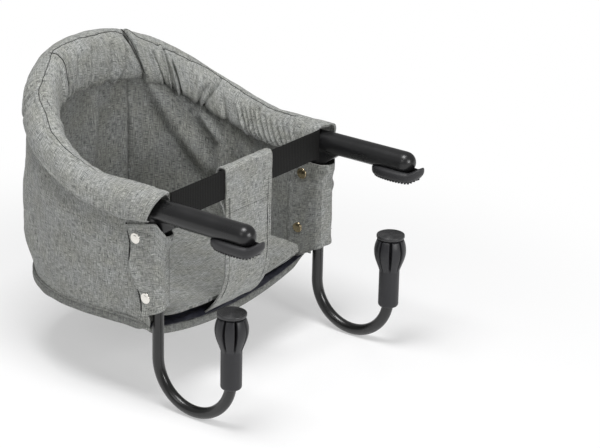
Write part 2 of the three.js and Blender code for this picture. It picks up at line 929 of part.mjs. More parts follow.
// Half the width between the walls at a depth, kept an inset away from the hoop's plan
function widthBetweenWalls(inset) {
  return (y) => {
    const half = halfSpan + sideBulge - inset;
    if (y <= sideStraightEnd) return halfSpan + sideBulge * splay(y) - inset;
    const share = (y - sideStraightEnd) / (seatDepth - sideStraightEnd - inset);
    return half * (1 - share ** planExponent) ** (1 / planExponent);
  };
}

const nearlyBackShare = 0.985;

function backEdge(inset) {
  return sideStraightEnd + (seatDepth - sideStraightEnd - inset) * nearlyBackShare;
}

function sagAt(x, y, half, front) {
  const share = (y - front) / (seatDepth - front);
  return (1 - (x / half) ** 2) * (1 - Math.max(share, 0) ** 4);
}

function bellyTop(x, y) {
  const lip = lipRise * Math.max(1 - (y - bellyFront) / lipDepth, 0) ** 2;
  return seatBottom + (lip - bellySag) * sagAt(x, y, bellyHalfWidth, bellyFront);
}

// Rows of the bottom, closer together where the front lip turns up
const lipRowCount = 3;
const bellyRowCount = 13;

function bellyRows(back) {
  const lipRows = evenRows(bellyFront, bellyFront + lipDepth, lipRowCount);
  return [...lipRows.slice(0, -1), ...evenRows(bellyFront + lipDepth, back, bellyRowCount)];
}

function bottomPanel() {
  const inset = 2 * fit - panelOffset;
  return sheetAcross(
    bellyRows(backEdge(inset)),
    widthBetweenWalls(inset),
    bellyTop,
    fabricThickness,
  );
}

function pocketLining() {
  const rows = bellyRows(backEdge(-panelOffset)).filter((y) => y < bellyFront + pocketDepth);
  const above = (x, y) => bellyTop(x, y) + slack + pocketThickness;
  return sheetAcross(rows, widthBetweenWalls(pocketInset), above, pocketThickness);
}

function seatTopSurface(x, y) {
  return seatTopHeight - seatTopSag * sagAt(x, y, halfSpan, seatTopFront);
}

function seatTop() {
  const sewn = panelOffset + fabricThickness + fit;
  const width = (y) => {
    const inset = sewn + (seatTopInset - sewn) * Math.min(splay(y), 1);
    return widthBetweenWalls(inset)(y);
  };
  const pad = sheetAcross(
    evenRows(seatTopFront, backEdge(seatTopInset), 12),
    width,
    seatTopSurface,
    seatTopThickness,
  );
  const rings = Array.from({ length: columns + 1 }, (_, k) => {
    const x = width(seatTopFront) * ((2 * k) / columns - 1);
    const top = seatTopSurface(x, seatTopFront);
    const droop = seatTopLip * sagAt(x, seatTopFront, halfSpan, seatTopFront);
    return [
      [seatTopFront + seatTopLipDepth, top - slack],
      [seatTopFront, top - slack],
      [seatTopFront - seatTopNose, top - seatTopThickness / 2],
      [seatTopFront, top - seatTopThickness - droop],
      [seatTopFront + seatTopLipDepth, top - seatTopThickness + slack],
    ].map(([y, z]) => new THREE.Vector3(x, y, z));
  });
  const nose = loft(rings, capOf(rings[0].map(({ y, z }) => new THREE.Vector2(y, z))));
  return join(pad, nose);
}

function seatBoard() {
  const middle = (boardFront + boardBack) / 2;
  const reach = (boardBack - boardFront) / 2;
  const width = (y) => {
    const share = Math.min(Math.abs(y - middle) / reach, nearlyBackShare);
    return boardHalfWidth * (1 - share ** 6) ** (1 / 6);
  };
  const under = (x, y) => seatTopSurface(x, y) - seatTopThickness - fit;
  return sheetAcross(evenRows(boardFront, boardBack, 12), width, under, boardThickness);
}

// Binding: a stiff folded edge round the foot of the outer panels
function bottomBinding() {
  const inner = panelOffset + fabricThickness + fit;
  const outer = inner + bindingThickness;
  const foot = seatBottom - fit;
  return alongPlan(wholeStations(panelFront), () => [
    [panelOffset, foot - bindingLip],
    [outer, foot - bindingLip],
    [outer, foot - bindingLip + bindingHeight],
    [inner, foot - bindingLip + bindingHeight],
    [inner, foot],
    [panelOffset, foot],
  ]);
}

// Waist strap: flat webbing between the arm roots
function waistStrap() {
  const half = halfSpan - gripRadius - fit;
  return block(
    [-half, waistPlace - strapThickness / 2, armHeight - waistHeight / 2],
    [half, waistPlace + strapThickness / 2, armHeight + waistHeight / 2],
  );
}

// Crotch strap: looped over the waist strap, then down under the front of the seat
function crotchStrap() {
  const t = crotchThickness;
  const front = waistPlace - strapThickness / 2 - fit - t;
  const back = front + crotchLoopDepth + t;
  const loopTop = armHeight + waistHeight / 2 + fit + t;
  const stitch = armHeight - crotchStitchDrop;
  const end = bellyFront - fit;
  const lipTop = bellyTop(0, bellyFront);
  const knee = seatBottom + kneeRise;
  const bend = seatBottom - bendDrop;
  const half = crotchWidth / 2;
  const loop = acrossX([
    [front, stitch],
    [front, loopTop - slack],
    [front + slack, loopTop],
    [back - slack, loopTop],
    [back, loopTop - slack],
    [back, stitch + crotchStitchSlope],
    [front + 2 * t, stitch],
  ], -half, half, [
    [front + t, stitch + 2 * t],
    [front + t, loopTop - t],
    [back - t, loopTop - t],
    [back - t, stitch + crotchStitchSlope + t],
  ]);
  const tail = acrossX([
    [front, knee],
    [front, stitch + t],
    [front + t, stitch + t],
    [front + t, knee],
    [front + t + bendStep, bend],
    [end, lipTop + t],
    [end, lipTop - fabricThickness],
    [front + bendStep, bend - t],
  ], -half, half);
  return join(loop, tail);
}

// Surface of each material
const finishes = {
  heather: { color: 0x8b8c88, roughness: 0.95, metalness: 0 },
  heatherDark: { color: 0x70716e, roughness: 0.95, metalness: 0 },
  nylon: { color: 0x23242c, roughness: 0.55, metalness: 0 },
  webbing: { color: 0x252522, roughness: 0.7, metalness: 0 },
  polypropylene: { color: 0x2b2b2c, roughness: 0.5, metalness: 0 },
  paintedSteel: { color: 0x1d1d1f, roughness: 0.28, metalness: 0.2 },
  gripPlastic: { color: 0x333336, roughness: 0.5, metalness: 0 },
  knobPlastic: { color: 0x3c3c3f, roughness: 0.55, metalness: 0 },
  rubber: { color: 0x2f2f31, roughness: 0.8, metalness: 0 },
  zincSteel: { color: 0xa8abad, roughness: 0.35, metalness: 1 },
  nickel: { color: 0xdad7d0, roughness: 0.25, metalness: 1 },
};

const materials = Object.fromEntries(
  Object.entries(finishes).map(([name, finish]) => [name, new THREE.MeshStandardMaterial(finish)]),
);

const group = new THREE.Group();

function add(name, geometry, material) {
  const mesh = new THREE.Mesh(geometry, materials[material]);
  mesh.name = name;
  group.add(mesh);
}

function addPair(name, geometry, material) {
  add(`left_${name}`, geometry, material);
  add(`right_${name}`, mirrored(geometry), material);
}

addPair('side_tube', sideTube(), 'paintedSteel');
addPair('arm_grip', armGrip(), 'gripPlastic');
addPair('table_pad', tablePad(), 'rubber');
addPair('tube_nut', tubeNut(), 'zincSteel');
addPair('stop_collar', stopCollar(), 'zincSteel');
addPair('rubber_cap', rubberCap(), 'rubber');
addPair('pressure_plate', pressurePlate(), 'zincSteel');
addPair('clamp_knob', clampKnob(), 'knobPlastic');
addPair('spindle', spindle(), 'zincSteel');

add('hoop_tube', hoopTube(), 'paintedSteel');
addPair('knuckle', knuckle(), 'polypropylene');
addPair('hoop_rivet', hoopRivet(), 'zincSteel');

addPair('hem', sideHem(), 'heather');
add('back_hem', backHem(), 'heather');
addPair('outer_panel', outerSide(), 'heather');
add('back_outer_panel', outerBack(), 'heather');
addPair('lining', liningSide(), 'heatherDark');
add('back_lining', liningBack(), 'heatherDark');
addPair('corner_flap', cornerFlap(), 'heather');
for (const [face, { side, upper, lower }] of Object.entries(snapPlaces)) {
  addPair(`${face}_snap_upper`, snap(side, upper), 'nickel');
  addPair(`${face}_snap_lower`, snap(side, lower), 'nickel');
}

add('seat_top', seatTop(), 'heather');
add('seat_board', seatBoard(), 'polypropylene');
add('bottom_panel', bottomPanel(), 'heatherDark');
add('pocket_lining', pocketLining(), 'nylon');
add('bottom_binding', bottomBinding(), 'heatherDark');
add('waist_strap', waistStrap(), 'webbing');
add('crotch_strap', crotchStrap(), 'heather');

export default group;
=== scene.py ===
# %% [markdown]
# # A clip-on table seat
# The real object is a fabric bucket that hangs from two steel side frames. Each frame grips a
# table between a rubber-shod arm above and a screw clamp below. This script takes the seat's
# engineering solids as a frame and dresses each one: smooth metal and plastic, cloth with its
# folds, padded hems and real stitching. Every length here is in millimetres until a mesh is made.

import bmesh
import bpy
import numpy as np
from mathutils import Matrix, Vector


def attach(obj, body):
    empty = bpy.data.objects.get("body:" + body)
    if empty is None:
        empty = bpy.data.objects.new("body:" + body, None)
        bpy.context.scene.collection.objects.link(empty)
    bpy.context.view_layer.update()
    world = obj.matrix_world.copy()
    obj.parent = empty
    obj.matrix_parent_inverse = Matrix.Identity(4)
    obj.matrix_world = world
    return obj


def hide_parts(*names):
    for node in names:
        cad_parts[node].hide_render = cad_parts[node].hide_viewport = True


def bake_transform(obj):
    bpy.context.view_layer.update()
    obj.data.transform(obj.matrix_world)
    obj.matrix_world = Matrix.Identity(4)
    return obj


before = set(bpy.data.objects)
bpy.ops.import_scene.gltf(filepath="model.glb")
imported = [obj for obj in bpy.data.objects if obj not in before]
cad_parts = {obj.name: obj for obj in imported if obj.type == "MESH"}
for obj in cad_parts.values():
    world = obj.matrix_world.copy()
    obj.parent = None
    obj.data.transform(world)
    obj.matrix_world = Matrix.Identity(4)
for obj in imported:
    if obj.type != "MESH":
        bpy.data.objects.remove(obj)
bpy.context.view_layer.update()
METRE = 0.001
print("solids loaded:", len(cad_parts))

# %% [markdown]
# ## The camera
# The photograph was taken from the front left, a little above the arms, with a long lens. The
# picture's principal point isn't at its centre, so the camera keeps a small shift. Its place is
# given in metres.

# %% Camera
VIEW_TARGET = Vector((0, 0.2614, -0.136))
VIEW_BACK = Vector((-0.7099, -0.5937, 0.3787)).normalized()
VIEW_DISTANCE = 3.462
LENS_LENGTH = 145.2
SENSOR_WIDTH = 36
LENS_SHIFT = (0.222, 0.059)
camera_data = bpy.data.cameras.new("photo_camera")
camera_data.lens = LENS_LENGTH
camera_data.sensor_width = SENSOR_WIDTH
camera_data.sensor_fit = "HORIZONTAL"
camera_data.shift_x, camera_data.shift_y = LENS_SHIFT
camera = bpy.data.objects.new("photo_camera", camera_data)
bpy.context.collection.objects.link(camera)
camera.location = VIEW_TARGET + VIEW_BACK * VIEW_DISTANCE
camera.rotation_euler = VIEW_BACK.to_track_quat("Z", "Y").to_euler()
bpy.context.scene.camera = camera
print("camera", [round(v, 3) for v in camera.location])

# %% [markdown]
# ## Small tools for materials
# One function adds a shader node with its settings and inputs. Another turns a colour as a
# designer writes it, in sRGB hex, into the linear light values that Blender works in.

# %% Node and colour helpers
def linear(code, alpha=1.0):
    """An sRGB hex colour as linear values."""
    shares = [int(code[k:k + 2], 16) / 255 for k in (0, 2, 4)]
    light = [c / 12.92 if c <= 0.04045 else ((c + 0.055) / 1.055) ** 2.4 for c in shares]
    return (*light, alpha)


def put(tree, kind, inputs=None, **settings):
    """Add one node, set it up and link or fill its inputs by name or number."""
    made = tree.nodes.new(kind)
    for key, value in settings.items():
        setattr(made, key, value)
    for key, value in (inputs or {}).items():
        socket = made.inputs[key]
        if isinstance(value, bpy.types.NodeSocket):
            tree.links.new(value, socket)
        else:
            socket.default_value = value
    return made


def start_material(name):
    """A new material with an empty tree, and its tree."""
    material = bpy.data.materials.new(name)
    material.use_nodes = True
    material.node_tree.nodes.clear()
    return material, material.node_tree


def close_material(tree, shader):
    """Join the last shader to the material's output."""
    put(tree, "ShaderNodeOutputMaterial", {"Surface": shader})


def ramp(tree, factor, stops):
    """A colour ramp with stops of place and colour."""
    made = put(tree, "ShaderNodeValToRGB", {"Fac": factor})
    first, last = made.color_ramp.elements
    first.position, first.color = stops[0]
    last.position, last.color = stops[-1]
    for place, colour in stops[1:-1]:
        made.color_ramp.elements.new(place).color = colour
    return made.outputs["Color"]


def bumped(tree, height, strength, deep):
    """A bumped surface from a height, deep in millimetres."""
    made = put(tree, "ShaderNodeBump", {
        "Height": height, "Strength": strength, "Distance": deep * METRE,
    })
    return made.outputs[0]


def finished(material, inputs):
    """Close a material with one shader that has these inputs."""
    tree = material.node_tree
    shader = put(tree, "ShaderNodeBsdfPrincipled", inputs)
    close_material(tree, shader.outputs[0])
    return material


# %% [markdown]
# ## Heather cloth
# The seat is sewn from polyester canvas in a heather weave: light and dark grey yarns mixed, so
# that the surface shows short streaks along both thread directions. The real threads are
# about 0.4 mm apart, too fine for this view, so the streaks are drawn 0.65 mm wide and up to a
# centimetre long, as thick and thin yarns show. The pattern follows each piece's own cut, so it
# reads the piece's UV map, which is laid out in metres.

# %% Heather material
STREAK_WIDTH = 0.65
STREAK_LENGTH = 9
SLUB_WIDTH = 0.8
SLUB_LENGTH = 26
SLUB_SHARE = 0.3
YARN_MIDDLE = 0.6
YARN_SPREAD = 0.08
YARN_RELIEF = 0.6
DYE_TONES = [(0.36, (0.94, 0.94, 0.91, 1)), (0.64, (1.03, 1.04, 1.06, 1))]


def streaks(tree, vector, across, along, turned, seed):
    """Noise drawn out along one thread direction. Sizes are in millimetres."""
    scale = (1 / along, 1 / across, 1 / across) if turned else (1 / across, 1 / along, 1 / across)
    place = put(tree, "ShaderNodeMapping", {
        "Vector": vector,
        "Location": (seed, 2 * seed, 0),
        "Scale": tuple(1000 * s for s in scale),
    })
    made = put(tree, "ShaderNodeTexNoise", {
        "Vector": place.outputs[0], "Scale": 1.0, "Detail": 1.0, "Roughness": 0.5,
    })
    return made.outputs["Fac"]


def heather(name, dark, middle, light, contrast=1.0, bump=0.25):
    """Heather canvas from three yarn colours."""
    material, tree = start_material(name)
    vector = put(tree, "ShaderNodeTexCoord").outputs["UV"]
    warp = streaks(tree, vector, STREAK_WIDTH, STREAK_LENGTH, False, 3)
    weft = streaks(tree, vector, STREAK_WIDTH, STREAK_LENGTH, True, 7)
    slub = streaks(tree, vector, SLUB_WIDTH, SLUB_LENGTH, True, 11)
    darker = put(tree, "ShaderNodeMath", {0: warp, 1: weft}, operation="MINIMUM")
    mixed = put(tree, "ShaderNodeMath", {0: slub, 1: SLUB_SHARE, 2: darker.outputs[0]},
                operation="MULTIPLY_ADD")
    reach = 2 * YARN_SPREAD / contrast
    share = put(tree, "ShaderNodeMapRange", {
        "Value": mixed.outputs[0],
        "From Min": YARN_MIDDLE - reach, "From Max": YARN_MIDDLE + reach,
    })
    colour = ramp(tree, share.outputs[0], [
        (0.0, linear(dark)), (0.5, linear(middle)), (1.0, linear(light)),
    ])
    dye = put(tree, "ShaderNodeTexNoise", {
        "Vector": vector, "Scale": 26.0, "Detail": 3.0, "Roughness": 0.6,
    })
    tone = ramp(tree, dye.outputs["Fac"], DYE_TONES)
    final = put(tree, "ShaderNodeVectorMath", {0: colour, 1: tone}, operation="MULTIPLY")
    weave = put(tree, "ShaderNodeMath", {0: warp, 1: weft}, operation="SUBTRACT")
    return finished(material, {
        "Base Color": final.outputs[0], "Roughness": 0.92,
        "Normal": bumped(tree, weave.outputs[0], bump, YARN_RELIEF),
        "Sheen Weight": 0.12, "Sheen Roughness": 0.5, "IOR": 1.45, "Specular IOR Level": 0.2,
    })


heather_cloth = heather("heather_canvas", "565857", "8f908d", "bcbdb8")
# Painted shade: the lining is the outside's canvas drawn darker, for the shade inside the bucket.
lining_cloth = heather("heather_canvas_lining", "484a49", "777875", "9d9e9a")
# Painted shade: the seat pad's canvas is drawn darker, for the shade at the bottom of the bucket.
seat_cloth_painted_shade = heather("heather_canvas_seat", "4f514f", "858683", "afb0ad")
binding_cloth = heather("heather_canvas_binding", "444648", "747572", "979893", contrast=0.9)
print("heather cloths ready")

# %% [markdown]
# ## Plain finishes
# Each of these starts from what the real surface is, except the near-black seam paint, which is
# painted shadow. Powder coat is a hard glossy plastic skin with a faint orange peel. Glass-filled
# nylon and rubber come out of a spark-eroded mould with a fine grain. Webbing is ribbed across its
# width. Plated steel and nickel are metals.

# %% Moulded, coated and plated materials
WORN_LIGHTER = 1.35
RIB_RELIEF = 0.4
CRUSH_RELIEF = 2


def moulded(name, colour, roughness, grain, depth, spread=0.06, coat=0.0):
    """A moulded or coated surface: grain is the size of its texture in millimetres."""
    material, tree = start_material(name)
    vector = put(tree, "ShaderNodeTexCoord").outputs["Object"]
    fine = put(tree, "ShaderNodeTexNoise", {
        "Vector": vector, "Scale": 1000 / grain, "Detail": 3.0, "Roughness": 0.55,
    })
    broad = put(tree, "ShaderNodeTexNoise", {"Vector": vector, "Scale": 25.0, "Detail": 2.0})
    dull = put(tree, "ShaderNodeMapRange", {
        "Value": broad.outputs["Fac"], "From Min": 0.3, "From Max": 0.7,
        "To Min": roughness - spread, "To Max": roughness + spread,
    })
    base = linear(colour)
    worn = tuple(min(1.0, c * WORN_LIGHTER) for c in base[:3]) + (1.0,)
    return finished(material, {
        "Base Color": ramp(tree, fine.outputs["Fac"], [(0.35, base), (0.7, worn)]),
        "Roughness": dull.outputs[0], "Normal": bumped(tree, fine.outputs["Fac"], 0.5, depth),
        "IOR": 1.5, "Coat Weight": coat, "Coat Roughness": 0.12,
    })


def plated(name, colour, roughness):
    """A plated metal with faint handling marks."""
    material, tree = start_material(name)
    vector = put(tree, "ShaderNodeTexCoord").outputs["Object"]
    marks = put(tree, "ShaderNodeTexNoise", {"Vector": vector, "Scale": 900.0, "Detail": 2.0})
    dull = put(tree, "ShaderNodeMapRange", {
        "Value": marks.outputs["Fac"], "To Min": roughness - 0.05, "To Max": roughness + 0.1,
    })
    return finished(material, {
        "Base Color": linear(colour), "Roughness": dull.outputs[0], "Metallic": 1.0,
    })


def woven_band(name, colour, bright, pitch):
    """Ribbed webbing or twill: ribs run across the band, pitch is in millimetres."""
    material, tree = start_material(name)
    vector = put(tree, "ShaderNodeTexCoord").outputs["UV"]
    ribs = put(tree, "ShaderNodeTexWave", {
        "Vector": vector, "Scale": 1000 / pitch / (2 * np.pi), "Distortion": 0.6, "Detail": 1.0,
        "Detail Scale": 40.0,
    }, wave_type="BANDS", bands_direction="Y")
    tone = ramp(tree, ribs.outputs["Fac"], [(0.0, linear(colour)), (1.0, linear(bright))])
    return finished(material, {
        "Base Color": tone, "Roughness": 0.75, "Specular IOR Level": 0.3,
        "Normal": bumped(tree, ribs.outputs["Fac"], 0.5, RIB_RELIEF),
    })


def nylon(name, colour, bright):
    """Calendered nylon lining: smooth, dark and a little shiny."""
    material, tree = start_material(name)
    vector = put(tree, "ShaderNodeTexCoord").outputs["Object"]
    crush = put(tree, "ShaderNodeTexNoise", {
        "Vector": vector, "Scale": 70.0, "Detail": 3.0, "Distortion": 0.8,
    })
    tone = ramp(tree, crush.outputs["Fac"], [(0.3, linear(colour)), (0.7, linear(bright))])
    return finished(material, {
        "Base Color": tone, "Roughness": 0.38, "Specular IOR Level": 0.5,
        "Normal": bumped(tree, crush.outputs["Fac"], 0.7, CRUSH_RELIEF),
    })


powder_coat = moulded("black_powder_coat", "0b0b0b", 0.3, 1.6, 0.02, coat=0.3)
grip_nylon = moulded("charcoal_glass_filled_nylon", "161617", 0.32, 0.9, 0.03)
knob_nylon = moulded("grey_glass_filled_nylon", "1d1d20", 0.44, 0.9, 0.04)
black_plastic = moulded("black_polypropylene", "181819", 0.5, 1.0, 0.05)
pad_rubber = moulded("soft_grey_rubber", "232325", 0.5, 1.2, 0.05)
disc_rubber = moulded("disc_rubber", "2c2c2d", 0.4, 1.2, 0.03)
zinc_plate = plated("zinc_plated_steel", "a8abad", 0.35)
nickel_plate = plated("polished_nickel", "e6e3dc", 0.16)
bronze_plate = plated("bronzed_nickel", "b0a184", 0.18)
webbing_black = woven_band("black_webbing", "0b0b0a", "131312", 1.8)
thread_grey = moulded("grey_sewing_thread", "454643", 0.8, 0.8, 0.02)
# Painted shadow: close rows of near-black beads of this are laid where seams, folds and edges are in
# shade.
seam_shadow_paint = moulded("dark_sewing_thread", "181817", 0.9, 0.8, 0.02)
pocket_nylon = nylon("navy_nylon", "1b1c26", "34353f")
print("materials:", len(bpy.data.materials))

# %% [markdown]
# ## Small tools for shapes
# Most pieces here are a run of closed sections joined into a skin, the way a tailor's pattern is
# wrapped on a form. The helper below turns rings of points into a mesh, with a UV map in metres
# so that cloth patterns keep their real size.

# %% Mesh helpers
CAP_SHIFT = 4


def smooth_step(low, high, value):
    """0 below low, 1 above high and an eased rise between."""
    share = np.clip((np.asarray(value, float) - low) / (high - low), 0, 1)
    return share * share * (3 - 2 * share)


def hump(away, width):
    """1 at no distance, fading smoothly over about twice the width."""
    return np.exp(-(away / width) ** 2)


def circle(count):
    """Even angles once round."""
    return np.linspace(0, 2 * np.pi, count, endpoint=False)


def walked(points):
    """How far along a line each of its points lies."""
    return np.concatenate([[0], np.cumsum(np.linalg.norm(np.diff(points, axis=0), axis=1))])


def two_faced(middle, out, half):
    """Section of a sheet with real thickness: up its outer face and back down its inner one."""
    return np.vstack([middle + out * half, (middle - out * half)[::-1]])


def ripple(a, b, length, seed, waves=7):
    """Gentle random waves over two distances, between about -1 and 1."""
    chance = np.random.default_rng(seed)
    total = 0
    for _ in range(waves):
        angle = chance.uniform(0, np.pi)
        size = length * chance.uniform(0.7, 1.5)
        phase = chance.uniform(0, 2 * np.pi)
        total = total + np.sin(2 * np.pi * (a * np.cos(angle) + b * np.sin(angle)) / size + phase)
    return total / waves * 1.6


def rounded(points, count, closed=True):
    """A smooth curve through points, cut into count even steps."""
    points = np.array(points, float)
    if closed:
        ring = np.vstack([points[-1], points, points[0], points[1]])
    else:
        ring = np.vstack([2 * points[0] - points[1], points, 2 * points[-1] - points[-2]])
    t = np.linspace(0, 1, 16, endpoint=False)[:, None]
    out = []
    for k in range(1, len(ring) - 2):
        a, b, c, d = ring[k - 1:k + 3]
        out.append(0.5 * (2 * b + (c - a) * t + (2 * a - 5 * b + 4 * c - d) * t ** 2
                          + (3 * b - a - 3 * c + d) * t ** 3))
    out = np.vstack(out)
    out = np.vstack([out, out[0] if closed else points[-1]])
    gone = walked(out)
    where = np.linspace(0, gone[-1], count, endpoint=not closed)
    return np.column_stack([np.interp(where, gone, out[:, k]) for k in range(out.shape[1])])


def near_side(points):
    """The points as they are drawn, on the near side of the seat."""
    return np.asarray(points, float)


def far_side(points):
    """The same points on the far side of the seat."""
    return np.asarray(points, float) * np.array([-1, 1, 1])


def placed(name, data):
    """A new object in the scene with this data."""
    made = bpy.data.objects.new(name, data)
    bpy.context.collection.objects.link(made)
    return made


def evaluated_mesh(obj, name):
    """The object's mesh as its modifiers leave it."""
    graph = bpy.context.evaluated_depsgraph_get()
    mesh = bpy.data.meshes.new_from_object(obj.evaluated_get(graph))
    mesh.name = name
    obj.modifiers.clear()
    obj.data = mesh
    mesh.shade_smooth()
    return mesh


def piece(name, points, faces, material, uvs=None, recalculate=True):
    """A mesh object at the origin from points in millimetres."""
    mesh = bpy.data.meshes.new(name)
    mesh.from_pydata((np.asarray(points, float) * METRE).tolist(), [], faces)
    if uvs is not None:
        layer = mesh.uv_layers.new(name="cut")
        layer.data.foreach_set("uv", (np.asarray(uvs, float) * METRE).ravel())
    if recalculate:
        work = bmesh.new()
        work.from_mesh(mesh)
        bmesh.ops.recalc_face_normals(work, faces=work.faces)
        work.to_mesh(mesh)
        work.free()
    mesh.shade_smooth()
    mesh.materials.append(material)
    return placed(name, mesh)


def skin(name, rings, material):
    """A skin round rings of points, closed at both ends."""
    rings = np.asarray(rings, float)
    rows, columns = rings.shape[:2]
    closed = np.concatenate([rings, rings[:, :1]], axis=1)
    round_steps = np.linalg.norm(np.diff(closed, axis=1), axis=2).mean(axis=0)
    across = np.concatenate([[0], np.cumsum(round_steps)])
    along = np.concatenate([[0], np.cumsum(
        np.linalg.norm(np.diff(rings, axis=0), axis=2).mean(axis=1))])
    faces = []
    uvs = []
    for r in range(rows - 1):
        low, high = r * columns, (r + 1) * columns
        for k in range(columns):
            n = (k + 1) % columns
            faces.append((low + k, low + n, high + n, high + k))
            uvs += [(across[k], along[r]), (across[k + 1], along[r]),
                    (across[k + 1], along[r + 1]), (across[k], along[r + 1])]
    last = (rows - 1) * columns
    faces.append(tuple(range(columns - 1, -1, -1)))
    uvs += [(across[k], along[0] - CAP_SHIFT) for k in range(columns - 1, -1, -1)]
    faces.append(tuple(last + k for k in range(columns)))
    uvs += [(across[k], along[-1] + CAP_SHIFT) for k in range(columns)]
    return piece(name, rings.reshape(-1, 3), faces, material, uvs)


def wear(made, body, slot, *nodes):
    """Fix a finished piece to its body and hide the solids that it stands for. The slot is not used.
    """
    if body:
        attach(made, body)
    if nodes:
        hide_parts(*nodes)
    return made


def lathe(profile, centre, sides=64):
    """Rings of a turned piece about a vertical axis. The profile is radius and height."""
    angle = circle(sides)
    return np.array([
        np.column_stack([centre[0] + r * np.cos(angle), centre[1] + r * np.sin(angle),
                         np.full(sides, z)]) for r, z in profile
    ])


SIDES = {"left": near_side, "right": far_side}
PARTS = {"near": ("left", near_side), "back": ("back", near_side), "far": ("right", far_side)}
print("shape tools ready")

# %% [markdown]
# ## The steel side tubes
# Each side frame is one length of 16 mm tube: it lies inside the arm, turns down at an elbow and
# hooks forward under the table. A round section swept on its bent path gives the true shape,
# with enough steps that the bend's edge reads as a curve.

# %% Side tubes
HALF_SPAN = 180
ARM_HEIGHT = 27
SETBACK = 126
TUBE_RADIUS = 8
ELBOW_RADIUS = 24
HOOK_RADIUS = SETBACK / 2
HOOK_CENTRE = -185.1
TUBE_TOP = -112.6
CORE_START = 20
UPRIGHT_FOOT = -90


def swept(path, radius, sides=28):
    """Round sections on a path that stays in one upright plane across X."""
    path = np.asarray(path, float)
    run = np.gradient(path, axis=0)
    run /= np.linalg.norm(run, axis=1)[:, None]
    side = np.array([1.0, 0, 0])
    up = np.cross(run, side)
    angle = circle(sides)
    return np.array([
        p + radius * (np.cos(angle)[:, None] * side + np.sin(angle)[:, None] * u)
        for p, u in zip(path, up)
    ])


def tube_path():
    """The side tube's middle line, from inside the arm to its end in the knob."""
    places = [(CORE_START, ARM_HEIGHT)]
    for a in np.linspace(np.pi / 2, 0, 14):
        places.append((SETBACK - ELBOW_RADIUS + ELBOW_RADIUS * np.cos(a),
                       ARM_HEIGHT - ELBOW_RADIUS + ELBOW_RADIUS * np.sin(a)))
    places.append((SETBACK, UPRIGHT_FOOT))
    for a in np.linspace(0, -np.pi, 60):
        places.append((HOOK_RADIUS + HOOK_RADIUS * np.cos(a),
                       HOOK_CENTRE + HOOK_RADIUS * np.sin(a)))
    places.append((0, TUBE_TOP))
    return np.array([(-HALF_SPAN, y, z) for y, z in places])


for side, place in SIDES.items():
    tube = skin(f"{side}_steel_tube", place(swept(tube_path(), TUBE_RADIUS)), powder_coat)
    wear(tube, f"{side}_frame", "black_steel", f"{side}_side_tube")
print("tube path points:", len(tube_path()))

# %% [markdown]
# ## The arms
# The arm is a moulding with a round nose, over the tube, with a web under its root where the
# tube turns down. Three simple closed forms are fused by a voxel remesh, which also leaves the
# soft inner corners that a mould gives, and a little smoothing takes the steps out.

# %% Arm grips
GRIP_RADIUS = 15.5
ARM_TIP = -35
TIP_RADIUS = 0.05
GUSSET_HALF = 10.5
GUSSET_OUTLINE = [(90, 13), (86, 20), (76, 36), (136, 36), (137, 0), (136, -8.6), (122, -8.6),
                  (119, -8)]
BOSS_PROFILE = [(TIP_RADIUS, -8.8), (11, -8.8), (12, -7.8), (12, 28), (TIP_RADIUS, 28)]
GRIP_VOXEL = 1.3


def capsule(radius, low, high, sides=48, steps=10):
    """Rings of a round-ended rod along Y at the arm's height."""
    angle = circle(sides)
    turn = np.linspace(0, np.pi / 2, steps)
    profile = [(radius * np.sin(a), low + radius - radius * np.cos(a)) for a in turn]
    profile += [(radius * np.cos(a), high - radius + radius * np.sin(a)) for a in turn]
    return np.array([
        np.column_stack([-HALF_SPAN + max(r, TIP_RADIUS) * np.cos(angle), np.full(sides, y),
                         ARM_HEIGHT + max(r, TIP_RADIUS) * np.sin(angle)])
        for r, y in profile
    ])


def prism(outline, left, right):
    """Two rings of an outline given in depth and height, pushed out along X."""
    return np.array([[(x, y, z) for y, z in outline] for x in (left, right)])


def fused(name, shells, voxel, material, smoothing=6, holes=()):
    """Closed shells joined into one skin by a voxel remesh, less the holes."""
    joined = bmesh.new()
    for k, rings in enumerate(shells):
        shell = skin(f"{name}_{k}", rings, material)
        joined.from_mesh(shell.data)
        bpy.data.objects.remove(shell)
    whole = piece(name, [], [], material, recalculate=False)
    joined.to_mesh(whole.data)
    joined.free()
    steps = [("REMESH", {"mode": "VOXEL", "voxel_size": voxel * METRE})]
    cutters = [skin(f"{name}_hole_{k}", rings, material) for k, rings in enumerate(holes)]
    for cutter in cutters:
        steps.append(("BOOLEAN", {"operation": "DIFFERENCE", "object": cutter,
                                  "solver": "EXACT"}))
    if cutters:
        steps.append(("REMESH", {"mode": "VOXEL", "voxel_size": voxel * METRE}))
    steps.append(("SMOOTH", {"factor": 0.5, "iterations": smoothing}))
    for kind, settings in steps:
        modifier = whole.modifiers.new(kind.lower(), kind)
        for key, value in settings.items():
            setattr(modifier, key, value)
    mesh = evaluated_mesh(whole, name)
    mesh.materials.clear()
    mesh.materials.append(material)
    for cutter in cutters:
        bpy.data.objects.remove(cutter)
    return whole


def mirror_of(original, name):
    """A mirrored copy across X with its faces still pointing out."""
    mesh = original.data.copy()
    mesh.name = name
    mesh.transform(Matrix.Scale(-1, 4, (1, 0, 0)))
    mesh.flip_normals()
    return placed(name, mesh)


grip_shells = [
    capsule(GRIP_RADIUS, ARM_TIP, SETBACK + GRIP_RADIUS),
    prism(GUSSET_OUTLINE, -HALF_SPAN - GUSSET_HALF, -HALF_SPAN + GUSSET_HALF),
    lathe(BOSS_PROFILE, (-HALF_SPAN, SETBACK)),
]
left_grip = fused("left_grip", grip_shells, GRIP_VOXEL, grip_nylon)
right_grip = mirror_of(left_grip, "right_grip")
wear(left_grip, "left_frame", "grip_plastic", "left_arm_grip")
wear(right_grip, "right_frame", "grip_plastic", "right_arm_grip")
print("arm vertices:", len(left_grip.data.vertices))

